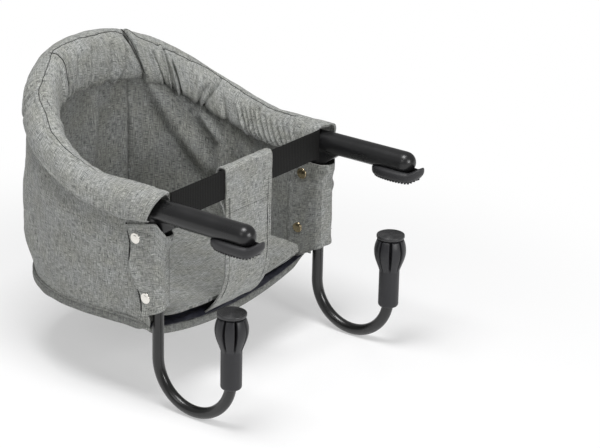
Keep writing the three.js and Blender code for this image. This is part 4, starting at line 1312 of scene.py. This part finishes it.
def lining_offset(seed, seams, folds, lines):
    """The lining: hangs inward in folds that fade towards its top and foot."""
    def at(s, share, z):
        held = np.sin(np.pi * np.clip(share, 0, 1)) ** 0.7
        calm = smooth_step(170 - RUN_START, 215 - RUN_START, min(s, 2 * HALF_RUN - s))
        slack = (2.6 * ripple(s * 1.4, z * 0.4, 74, seed) + 0.9 * ripple(s, z * 0.8, 30, seed + 1)
                 + 0.35 * ripple(s, z, 14, seed + 2))
        total = -SHEET_OUT - held * calm * (slack + 2.0)
        for place, width, deep, lean in folds:
            away = s - place - lean * (1 - share) ** 1.2
            broad = width * (1 + 1.1 * (1 - share))
            hang = deep * calm * np.sin(np.pi * np.clip(share * 0.86 + 0.1, 0, 1))
            total = total - hang * (hump(away, broad) - 0.55 * hump(away + 1.9 * broad, broad))
        total = total - draped(s, z, lines) * held ** 0.3
        seam = sum(2.4 * hump(s - place, 3) for place in seams)
        return np.minimum(total + seam * held ** 0.2, 0.4 + seam - SHEET_OUT)

    return at


def declare_sheet(start, end):
    """Work out the rim's height and slope along a panel's span, and keep nothing."""
    distances = np.linspace(start, end, 200)
    _, _, height, slope = along_rim(distances)


def seen_from_far(lines):
    """The same lines measured from the far end of the rim."""
    return [(2 * HALF_RUN - a, za, 2 * HALF_RUN - b, zb, size, width)
            for a, za, b, zb, size, width in lines]


PANEL_START = 138 - RUN_START
SPANS = {
    "near": (PANEL_START, SEAM_RUN - SEAM_GAP),
    "back": (SEAM_RUN + SEAM_GAP, BACK_END - SEAM_GAP),
    "far": (PANEL_START, SEAM_RUN - SEAM_GAP),
}
OUTER_LINES = [(225, 12, 92, -112, 2.6, 12), (196, -18, 80, -132, -2.2, 12),
               (305, 20, 292, -118, 2.2, 12), (262, 20, 240, -80, -2.4, 11),
               (150, 0, 96, -52, -1.8, 10), (84, -30, 78, -120, 1.6, 9)]
LINING_LINES = [
    (BACK_END + a, za, BACK_END + b, zb, size, width) for a, za, b, zb, size, width in (
        (6, 98, 58, 2, -9, 9), (58, 2, 128, -78, -7, 13), (30, 92, 84, 6, 13, 12),
        (84, 6, 150, -60, 11, 16), (122, 34, 158, -10, 12, 7), (158, -10, 164, -84, 11, 10),
        (110, 26, 136, -40, -7, 9), (204, 2, 214, -90, 7, 9), (-66, 90, -92, -60, 9, 12),
        (-30, 74, -44, -90, -5, 10), (-120, 84, -112, -70, -7, 10), (4, 60, 20, -70, 7, 9),
    )
]
LINING_FOLDS = [(SEAM_RUN - 30, 10, 7, 18), (SEAM_RUN - 84, 12, 6, -12),
                (SEAM_RUN + 30, 9, 6, 12), (SEAM_RUN + 78, 9, 4, 8)]
FAR_FOLDS = [(BACK_END - 34, 9, 4, -6), (BACK_END + 190, 8, 4, 14)]
FAR_FOLDS_SEEN = [(2 * HALF_RUN - p, w, d, -lean) for p, w, d, lean in FAR_FOLDS]
OUTER_CHOICES = {
    "near": (61, OUTER_LINES), "back": (67, OUTER_LINES), "far": (73, OUTER_LINES),
}
LINING_CHOICES = {
    "near": (81, LINING_FOLDS, []), "back": (87, LINING_FOLDS + FAR_FOLDS, LINING_LINES),
    "far": (93, FAR_FOLDS_SEEN, seen_from_far(LINING_LINES)),
}


def hang_panels(drop, offset, choices, cloth, slot, name, node):
    """Three sheets round the bucket, each dressed."""
    for part, (side, place) in PARTS.items():
        start, end = SPANS[part]
        seams = [start, end] if part == "back" else [end]
        seed, *shapes = choices[part]
        rings = panel_rings(start, end, offset(seed, seams, *shapes), SEAT_BOTTOM, drop)
        sheet = skin(f"{part}_{name}", place(rings), cloth)
        wear(sheet, "seat", slot, f"{side}_{node}")
        declare_sheet(start, end)


hang_panels("outer", outer_offset, OUTER_CHOICES, heather_cloth, "heather_cloth", "outer_cloth",
            "outer_panel")
# Painted shade: the linings wear the darker copy of the canvas.
hang_panels("inner", lining_offset, LINING_CHOICES, lining_cloth, "lining_cloth", "lining_cloth",
            "lining")

# %% [markdown]
# ## The bound bottom edge
# The outer panels end in a band of folded cloth, 13 mm high, that stands a little proud and rolls
# under at its foot. A strip with a soft section is carried right round the seat.

# %% Bottom binding
binding_section = rounded([
    (12.6, -144.6), (13.4, -145.6), (16.0, -145.9), (17.9, -144.6), (18.4, -141.5),
    (17.9, -137.5), (18.0, -134.5), (16.9, -132.6), (14.9, -132.4), (14.6, -134.5),
    (14.5, -140.0), (14.4, -143.4),
], 40)
BINDING_START = PANEL_START - FOOT_REACH
binding_runs = np.linspace(BINDING_START, 2 * HALF_RUN - BINDING_START, 330)
binding_sections = []
for s in binding_runs:
    ends = smooth_step(0, 22, min(s, 2 * HALF_RUN - s) - BINDING_START)
    middle = np.array([13.5 + 1.5 * ends, -138.0])
    wave = np.column_stack([0.35 * ripple(s, binding_section[:, 1] * 3, 30, 101),
                            0.35 * ripple(s, binding_section[:, 0] * 3, 45, 103)])
    binding_sections.append(middle + (binding_section - (15.0, -138.0)) * (0.35 + 0.65 * ends)
                            + wave * ends)
binding = skin("bound_edge", on_rim(binding_runs, binding_sections), binding_cloth)
wear(binding, "seat", "lining_cloth", "bottom_binding")

# %% [markdown]
# ## The corner flaps
# At each front corner a flap of the outer cloth wraps forward round the steel upright and is
# fastened to both faces of the side panel with press-studs. Its outer leaf is cut back on a slant.
# The flap is one sheet that follows a path seen from above: back along the outside, round the
# tube and back along the inside.

# %% Corner flaps
LEAF = 14.3 + CLOTH / 2
FLAP_CENTRE = 120
FLAP_REAR = 168
FLAP_TOP = 10.7
FLAP_WRAP_TOP = -4.5
FLAP_FOOT = -120
LEAF_ARC = np.pi * LEAF
LEAF_LENGTH = FLAP_REAR - FLAP_CENTRE
FLAP_COLUMNS = 96
FLAP_ROWS = 52
EDGE_HEIGHTS = [-120, -107, -93, -72, -49, -25, 0, 11]
EDGE_DEPTHS = [139, 139.5, 142.5, 152, 160.5, 158.5, 164, FLAP_REAR]


def flap_edge(z):
    """Depth of the outer leaf's slanted rear edge at a height."""
    return np.interp(z, EDGE_HEIGHTS, EDGE_DEPTHS)


FLAP_SEEDS = {"left": 131, "right": 137}
FOOT_PLACES = [-62, -36, -20, 0, 10, 22, 34, 48]
FOOT_DROPS = {
    "left": [-3, 8, 10, 8, -4, -20, -30, -36],
    "right": [-8, -10, -12, -15, -20, -28, -35, -36],
}
INNER_LEAF_FOLDS = [(-30, -86, 2.6, 7), (-58, -112, 2.2, 6), (-24, -42, -2.4, 6)]


def flap_path(past, beyond):
    """Places and outward directions on the flap's path, by distance past its bend's two ends."""
    angle = np.pi + np.clip(past / LEAF, 0, np.pi)
    out = np.column_stack([np.cos(angle), np.sin(angle), 0 * angle])
    centre = np.column_stack([
        np.full(len(past), -HALF_SPAN), FLAP_CENTRE + np.maximum(-past, 0) + np.maximum(beyond, 0),
        0 * angle,
    ])
    return centre + out * LEAF, out


def flap_rings(seed, foot_drops):
    """Rings of the flap, from its foot to its top, each walking out, round and in."""
    rings = []
    for level in np.linspace(0, 1, FLAP_ROWS):
        outer_leaf = flap_edge(FLAP_FOOT + (FLAP_TOP - FLAP_FOOT) * level) - FLAP_CENTRE
        d = np.linspace(0, 1, FLAP_COLUMNS) * (outer_leaf + LEAF_ARC + LEAF_LENGTH)
        past = d - outer_leaf
        beyond = past - LEAF_ARC
        bend = (past >= 0) & (beyond <= 0)
        lower = smooth_step(2, 18, past)
        slant = -9 + 11 * np.clip(d / outer_leaf, 0, 1)
        top = FLAP_TOP + slant * (1 - lower) + (FLAP_WRAP_TOP - FLAP_TOP) * lower
        foot = FLAP_FOOT + np.interp(beyond, FOOT_PLACES, foot_drops)
        z = foot + (top - foot) * level
        wave = 0.55 * ripple(d, z, 38, seed) + 0.3 * ripple(d + z, z, 17, seed + 1)
        fold = (3.4 * hump(z + 34 + 0.9 * past, 4) * smooth_step(-30, -6, past)
                * (1 - smooth_step(2, 22, past)))
        for high, low, size, wide in INNER_LEAF_FOLDS:
            line = high + (low - high) * beyond / LEAF_LENGTH
            fold = fold + smooth_step(2, 14, beyond) * size * hump(z - line, wide)
        edge_roll = 0.5 * (1 - smooth_step(0, 9, z - foot))
        loose = 4.6 * (1 - smooth_step(0, 12, d)) * (0.6 + 0.4 * np.sin(z / 13))
        hug = 10 * bend * np.sin(np.pi * np.clip(past / LEAF_ARC, 0, 1) ** 1.5) ** 1.2
        hug = hug * (1 - smooth_step(-34, -12, z))
        middle = 0.5 + 0.9 * wave * np.clip(bend + 0.35, 0, 1) + fold + edge_roll + loose - hug
        half = CLOTH / 2 + 0.35 * (1 - smooth_step(7, 9.5, z - foot))
        here, out = flap_path(past, beyond)
        here[:, 2] = z
        rings.append(two_faced(here + out * middle[:, None], out, half[:, None]))
    return np.array(rings)


for side, place in SIDES.items():
    flap = skin(f"{side}_flap_cloth", place(flap_rings(FLAP_SEEDS[side], FOOT_DROPS[side])),
                heather_cloth)
    # Painted shade: the inner leaf, facing into the bucket, wears the darker lining copy of the
    # canvas.
    flap.data.materials.append(lining_cloth)
    for face in flap.data.polygons:
        face.material_index = int(abs(face.center.x) < (HALF_SPAN - 9) * METRE)
    wear(flap, "seat", "heather_cloth", f"{side}_corner_flap")

# %% [markdown]
# ## Press-studs
# Each flap is held by four capped press-studs. The cap is a shallow pressed dome with a rolled
# rim, bright nickel outside and bronzed inside the bucket.

# %% Press-studs
CAP_FACE = 15.9
CAP_SIDES = 40
CAP_PROFILE = [(0.4, -0.6), (6.4, -0.6), (7.6, -0.1), (8.0, 0.7), (7.8, 1.5), (7.1, 2.0),
               (6.2, 1.9), (5.4, 1.8), (4.4, 2.15), (3.0, 2.5), (1.6, 2.7), (0.3, 2.75)]
STUDS = {
    "outer_snap_upper": (-1, 151.5, -14.9), "outer_snap_lower": (-1, 134.1, -97),
    "inner_snap_upper": (1, 146, -23.9), "inner_snap_lower": (1, 152, -108),
}


def stud_rings(out, depth, height):
    """Rings of a stud cap on the flap's face, which looks outward or inward along X."""
    angle = circle(CAP_SIDES)
    return np.array([
        np.column_stack([np.full(CAP_SIDES, -HALF_SPAN + out * (CAP_FACE + h)),
                         depth + r * np.cos(angle), height + r * np.sin(angle)])
        for r, h in CAP_PROFILE
    ])


for side, place in SIDES.items():
    for name, (out, depth, height) in STUDS.items():
        metal = nickel_plate if out < 0 else bronze_plate
        stud = skin(f"{side}_{name}_cap", place(stud_rings(out, depth, height)), metal)
        wear(stud, "seat", "nickel" if out < 0 else "aged_nickel", f"{side}_{name}")

# %% [markdown]
# ## Seat pad, belly and pocket
# The child sits on a thin padded panel that hollows a little. Under it a slack outer belly makes
# a flat pocket for the seat's bag, open at the front, where dark nylon shows. All three are
# sheets across the seat between its side walls, so they share one way of making their rows.

# %% Sheets across the seat
CORNER_RUN = 22


def half_width(depth, inset):
    """Half the room between the side walls at a depth, less an inset."""
    reach = HALF_SPAN + SIDE_BULGE - inset
    splay = np.maximum((depth - SPLAY_START) / (STRAIGHT_END - SPLAY_START), 0)
    share = np.clip((depth - STRAIGHT_END) / (SEAT_DEPTH - STRAIGHT_END - inset), 0, 0.9995)
    curved = reach * (1 - share ** PLAN_EXPONENT) ** (1 / PLAN_EXPONENT)
    return np.where(depth <= STRAIGHT_END, HALF_SPAN + SIDE_BULGE * splay - inset, curved)


def sag_share(x, y, half, front):
    """1 in the middle of a slung sheet and 0 at its walls."""
    share = np.clip((y - front) / (SEAT_DEPTH - front), 0, 1)
    return (1 - (x / half) ** 2) * (1 - share ** 4)


def across_rings(front, back, inset, top_at, thick_at, corner=0, rows=70, columns=60):
    """Rings of a sheet or pad, each a row across the seat with a top and an underside."""
    rings = []
    for y in np.linspace(front, back, rows):
        half = float(half_width(y, inset)) - corner * max(0, 1 - (y - front) / CORNER_RUN) ** 2
        x = half * np.sin(np.linspace(-np.pi / 2, np.pi / 2, columns))
        top = top_at(x, y)
        thick = thick_at(x / half, y)
        upper = np.column_stack([x, np.full(columns, y), top])
        lower = np.column_stack([x, np.full(columns, y), top - thick])[::-1]
        rings.append(np.vstack([upper, lower]))
    return np.array(rings)


SEAT_FRONT = 141
PAD_EDGE_FRONT = 138.5
PAD_EDGE_BACK = 400
PAD_INSET = 14.6
PAD_CORNER = 16
BELLY_FRONT = 150
BELLY_BACK = 428
BELLY_INSET = -11.8
NYLON_FRONT = 146.5
NYLON_BACK = 262
NYLON_INSET = 7
NYLON_THICK = 0.8
LIP_HALF = 176
LIP_FULL = 150
LIP_OUTLINE = rounded([(149.8, 1.2), (147.6, -0.4), (147.2, -5), (149.0, -10.5), (153.5, -13.0),
                       (158, -13.2), (158, -11.6), (153, -10.0), (150.4, -6)], 26)


def seat_surface(x, y):
    """Height of the sitting surface."""
    return -132 - 14 * sag_share(x, y, HALF_SPAN, SEAT_FRONT) + 0.7 * ripple(x, y, 60, 201)


def seat_thickness(share, y):
    """The pad thins to a sewn edge at its walls and its front."""
    side = 1 - np.abs(share) ** 10
    ends = smooth_step(138, 152, y) * 0.55 + 0.45
    return 2.2 + 6.0 * side * ends


def belly_surface(x, y):
    """Height of the belly cloth: slack, with a lip that turns up at its front."""
    lip = 6 * np.clip(1 - (y - BELLY_FRONT) / 18, 0, None) ** 2
    return (SEAT_BOTTOM + (lip - 39) * sag_share(x, y, 197, BELLY_FRONT)
            + 0.9 * ripple(x, y, 70, 207) * smooth_step(150, 175, y))


def nylon_surface(x, y):
    """The pocket's nylon lies on the belly in loose creases."""
    slack = 0.5 + 0.5 * ripple(x * 1.1, y * 2.2, 34, 211)
    edge = np.clip(sag_share(x, y, 174, BELLY_FRONT), 0, 1)
    lift = 9 * smooth_step(NYLON_FRONT, NYLON_FRONT + 9, y) + 4 * np.clip(slack, 0, 1)
    return belly_surface(x, np.maximum(y, BELLY_FRONT)) + 1.2 + lift * edge


def of_cloth(share, y):
    """The even thickness of the belly's cloth."""
    return CLOTH + 0 * share


def of_nylon(share, y):
    """The even thickness of the pocket's nylon."""
    return NYLON_THICK + 0 * share


def lip_rings():
    """The belly's bound front lip, which thins out towards its two ends."""
    rings = []
    for x in np.linspace(-LIP_HALF, LIP_HALF, 110):
        crest = float(belly_surface(x, BELLY_FRONT + 1))
        tall = 0.3 + 0.7 * smooth_step(LIP_HALF, LIP_FULL, abs(x))
        outline = LIP_OUTLINE * (1, tall) + (0, crest)
        rings.append(np.column_stack([np.full(len(outline), x), outline]))
    return np.array(rings)


# Painted shade: the pad wears the darker copy of the canvas.
seat_pad = skin("seat_pad", across_rings(PAD_EDGE_FRONT, PAD_EDGE_BACK, PAD_INSET, seat_surface,
                                         seat_thickness, PAD_CORNER), seat_cloth_painted_shade)
wear(seat_pad, "seat", "heather_cloth", "seat_top")
belly = skin("belly_cloth", across_rings(BELLY_FRONT, BELLY_BACK, BELLY_INSET, belly_surface,
                                         of_cloth), binding_cloth)
wear(belly, "seat", "lining_cloth", "bottom_panel")
belly_lip = skin("belly_lip_binding", lip_rings(), binding_cloth)
wear(belly_lip, "seat", "lining_cloth")
nylon_sheet = skin("pocket_nylon", across_rings(NYLON_FRONT, NYLON_BACK, NYLON_INSET,
                                                nylon_surface, of_nylon), pocket_nylon)
wear(nylon_sheet, "seat", "navy_nylon", "pocket_lining")
print("seat pad, belly and pocket made")

# %% [markdown]
# ## The waist strap
# Black webbing joins the two arm roots. It is made in two halves that meet, hidden, inside the
# crotch strap's loop.

# %% Waist strap
STRAP_PLACE = 117.5
STRAP_START = -164.2
STRAP_MIDDLE = -0.3
STRAP_SECTION = rounded([
    (-1.0, -20.2), (-0.7, -21), (0.7, -21), (1.0, -20.2), (1.05, 0), (1.0, 20.2), (0.7, 21),
    (-0.7, 21), (-1.0, 20.2), (-1.05, 0),
], 36)


def strap_rings():
    """Rings of the near half of the strap, from the arm's root to the middle."""
    aside, above = STRAP_SECTION.T
    return np.array([
        np.column_stack([np.full(len(above), x), STRAP_PLACE + aside + 0.4 * ripple(x, above, 80, 301),
                         ARM_HEIGHT + above])
        for x in np.linspace(STRAP_START, STRAP_MIDDLE, 70)
    ])


for side, place in SIDES.items():
    strap = skin(f"{side}_waist_webbing", place(strap_rings()), webbing_black)
    wear(strap, None, "black_webbing", *(["waist_strap"] if side == "left" else []))
    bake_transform(strap)

# %% [markdown]
# ## The crotch strap
# A wide strap of the seat's own cloth is folded over the waist strap, sewn to itself below it and
# carried down and under the front of the seat to the belly's lip. One long sheet follows that
# path, thicker at its turned edges.

# %% Crotch strap
CROTCH_HALF = 50
EDGE_GROOVE = 42.5
SEWN_EDGE = 46.5
CROSS_HALF = 48
CROSS_PLACE = 113.6
CROSS_HEIGHT = -16
crotch_path = rounded([
    (117.6, -17.5), (120.5, -8), (130.6, 10), (131.0, 34), (129.0, 46.5), (123.0, 49.6),
    (117.5, 49.2), (115.1, 44), (115.0, 20), (114.9, -18), (115.0, -60), (115.0, -96),
    (117.4, -118), (124.5, -138), (136.0, -156), (149.2, -169.5),
], 150, closed=False)


def crotch_rings():
    """Rings of the crotch strap from its hidden inner end to the belly's lip."""
    run = np.gradient(crotch_path, axis=0)
    run /= np.linalg.norm(run, axis=1)[:, None]
    x = CROTCH_HALF * np.sin(np.linspace(-np.pi / 2, np.pi / 2, 80))
    away = np.abs(x)
    turned = 0.6 * smooth_step(38.5, 41, away) - 1.1 * hump(away - EDGE_GROOVE, 1.3)
    half = 1.0 + 0.8 * turned
    rings = []
    for (y, z), (back, up), s in zip(crotch_path, run, walked(crotch_path)):
        wave = 0.45 * ripple(x, s, 46, 401) + 0.25 * ripple(x, s, 18, 403)
        flare = 1.5 * (1 - smooth_step(-165, -120, z)) + 0.5 * ripple(s, 0 * x, 30, 407)
        out = np.array([0, -up, back])
        middle = np.column_stack([x * (1 + flare / CROTCH_HALF), y + out[1] * wave,
                                  z + out[2] * wave])
        rings.append(two_faced(middle, out, half[:, None]))
    return np.array(rings)


crotch_strap = skin("crotch_cloth", crotch_rings(), heather_cloth)
wear(crotch_strap, "seat", "heather_cloth", "crotch_strap")

# %% [markdown]
# ## Stitching
# Sewn lines are what makes cloth read as a made thing. Each is a row of small beads of thread set
# along a line just above the cloth. The real stitches are 3 mm long, one every 4 mm.

# %% Stitches
LEAF_LINE_OUT = 17
LEAF_LINES = [
    [(139.5, -118), (157, -54), (165, -2.5)], [(116, -111.5), (130, -111.5), (141, -111.5)],
    [(118, -4.5), (140, -4.5), (164, -4.5)],
]
BINDING_LINE = (18.2, -134.6)
STITCH_LENGTH = 3
STITCH_WIDTH = 0.8
STITCH_PITCH = 4


def flap_line(points):
    """A line on the flap's outer leaf from pairs of depth and height."""
    spread = rounded(points, 60, closed=False)
    return np.column_stack([np.full(60, -HALF_SPAN - LEAF_LINE_OUT), spread])


def strap_line(x, out):
    """A line along the front of the crotch strap, a little out from its middle."""
    depth, height = crotch_path[60:].T
    return np.column_stack([x + 0 * depth, depth - out, height])


def flap_edge_line():
    """The shadow behind the outer leaf's slanted edge."""
    heights = np.linspace(FLAP_FOOT + 3, FLAP_TOP - 8, 60)
    return np.column_stack([np.full(60, -HALF_SPAN - LEAF - 2.2), flap_edge(heights) + 1.6, heights])


binding_places = np.arange(BINDING_START + 2, 2 * HALF_RUN - BINDING_START - 2, 4)
cross_x = np.linspace(-CROSS_HALF, CROSS_HALF, 30)
seat_lines = [
    on_rim(binding_places, [[BINDING_LINE]] * len(binding_places))[:, 0],
    strap_line(-SEWN_EDGE, 1.35),
    strap_line(SEWN_EDGE, 1.35),
    np.column_stack([cross_x, np.full(30, CROSS_PLACE), np.full(30, CROSS_HEIGHT)]),
]
for place in SIDES.values():
    seat_lines += [place(flap_line(line)) for line in LEAF_LINES]
seat_stitches = repeated("seat_stitches", seat_lines, bead_tree, STITCH_LENGTH, STITCH_WIDTH,
                         STITCH_WIDTH, STITCH_PITCH, thread_grey)
wear(seat_stitches, "seat", "heather_cloth")
# The rows below are painted shadow, not stitching: near-black beads laid in the crotch strap's edge
# grooves and behind each flap's slanted edge.
edge_run = np.linspace(0, 100, len(crotch_path) - 60)
edge_lines = [strap_line(sign * (EDGE_GROOVE + 0.9 * ripple(edge_run, sign, 24, 55)), 0.9)
              for sign in (-1, 1)]
painted_shadow_lines("strap_edge_threads", edge_lines, 0.9, 1.8)
painted_shadow_lines("flap_edge_threads", [place(flap_edge_line()) for place in SIDES.values()], 2.4, 1.8)

# %% [markdown]
# ## The pieces that keep their own shape
# Nuts, spindles, plates, collars, knuckles, rivets, the hoop and the seat board are hidden or
# nearly so. Their solids already have the right form, so they only take their real finish.

# %% Finishes for the remaining solids
KEPT = {
    "tube_nut": zinc_plate, "spindle": zinc_plate, "pressure_plate": zinc_plate,
    "stop_collar": zinc_plate, "hoop_rivet": zinc_plate, "knuckle": black_plastic,
    "hoop_tube": powder_coat, "seat_board": black_plastic,
}
for name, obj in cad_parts.items():
    finish = KEPT.get(name.replace("left_", "").replace("right_", ""))
    if finish:
        for entry in obj.material_slots:
            entry.material = finish

# %% [markdown]
# ## Floor and light
# The photograph has a plain white ground with a soft shadow, lit by large lamps from above, from
# the front and, faintly, from the left. The floor is white paper. Far from the seat it fades to
# pure white for the camera, while the shadow under the seat stays. Each lamp has a place, a point
# it looks at and a size, all in metres, and a power in watts.

# %% Floor, lamps and world
FLOOR_HEIGHT = -0.2568
FLOOR_HALF = 9000
FLOOR_MIDDLE = (0.0, 0.22, FLOOR_HEIGHT)
FADE_START = 0.3
FADE_END = 0.9
# Painted light: near the seat 38 per cent of what the camera sees of the floor is white glow, which
# lightens the shadow there.
GLOW_NEAR = 0.38
SKY_IN_SHINE = 0.34
SKY_LIGHT = 0.3
LAMPS = {
    "high_softbox": ((-0.5, 0.1, 2.2), (0, 0.2, 0), 1.0, 42),
    "left_softbox": ((-2.0, 0.1, 1.3), (0, 0.2, 0), 0.8, 5),
    "front_softbox": ((-0.4, -2.4, 1.0), (0, 0.2, -0.05), 0.9, 31),
}


def floor_paper():
    """White paper that the camera sees as white away from the object."""
    material, tree = start_material("white_paper")
    coords = put(tree, "ShaderNodeTexCoord").outputs["Object"]
    centre = put(tree, "ShaderNodeVectorMath", {0: coords, 1: FLOOR_MIDDLE}, operation="DISTANCE")
    far = put(tree, "ShaderNodeMapRange", {
        "Value": centre.outputs["Value"], "From Min": FADE_START, "From Max": FADE_END,
        "To Min": GLOW_NEAR, "To Max": 1.0,
    }, interpolation_type="SMOOTHERSTEP")
    rays = put(tree, "ShaderNodeLightPath").outputs
    seen = put(tree, "ShaderNodeMath", {0: rays["Is Camera Ray"], 1: rays["Is Glossy Ray"]},
               operation="MAXIMUM")
    share = put(tree, "ShaderNodeMath", {0: far.outputs[0], 1: seen.outputs[0]},
                operation="MULTIPLY")
    paper = put(tree, "ShaderNodeBsdfPrincipled", {
        "Base Color": (0.96, 0.96, 0.965, 1), "Roughness": 0.35, "Specular IOR Level": 0.25,
    })
    glow = put(tree, "ShaderNodeEmission", {"Color": (1, 1, 1, 1), "Strength": 1.0})
    mixed = put(tree, "ShaderNodeMixShader", {0: share.outputs[0], 1: paper.outputs[0],
                                              2: glow.outputs[0]})
    close_material(tree, mixed.outputs[0])
    return material


floor_corners = [(x * FLOOR_HALF, y * FLOOR_HALF, FLOOR_HEIGHT / METRE)
                 for x, y in ((-1, -1), (1, -1), (1, 1), (-1, 1))]
floor = piece("floor", floor_corners, [(0, 1, 2, 3)], floor_paper(), recalculate=False)


def lamp(name, place, aim, size, power):
    """A square area lamp that looks at a point."""
    data = bpy.data.lights.new(name, "AREA")
    data.shape = "SQUARE"
    data.size = size
    data.energy = power
    made = bpy.data.objects.new(name, data)
    bpy.context.collection.objects.link(made)
    made.location = place
    made.rotation_euler = (Vector(aim) - Vector(place)).to_track_quat("-Z", "Y").to_euler()


for name, setting in LAMPS.items():
    lamp(name, *setting)

world = bpy.data.worlds.new("studio")
bpy.context.scene.world = world
world.use_nodes = True
sky = world.node_tree
sky.nodes.clear()
rays = put(sky, "ShaderNodeLightPath").outputs
shine = put(sky, "ShaderNodeMath", {0: rays["Is Glossy Ray"], 1: SKY_IN_SHINE},
            operation="MULTIPLY")
seen = put(sky, "ShaderNodeMath", {0: rays["Is Camera Ray"], 1: shine.outputs[0]},
           operation="MAXIMUM")
level = put(sky, "ShaderNodeMath", {0: seen.outputs[0], 1: SKY_LIGHT}, operation="MAXIMUM")
air = put(sky, "ShaderNodeBackground", {"Color": (1, 1, 1, 1), "Strength": level.outputs[0]})
put(sky, "ShaderNodeOutputWorld", {"Surface": air.outputs[0]})
bpy.context.scene.view_settings.view_transform = "Standard"
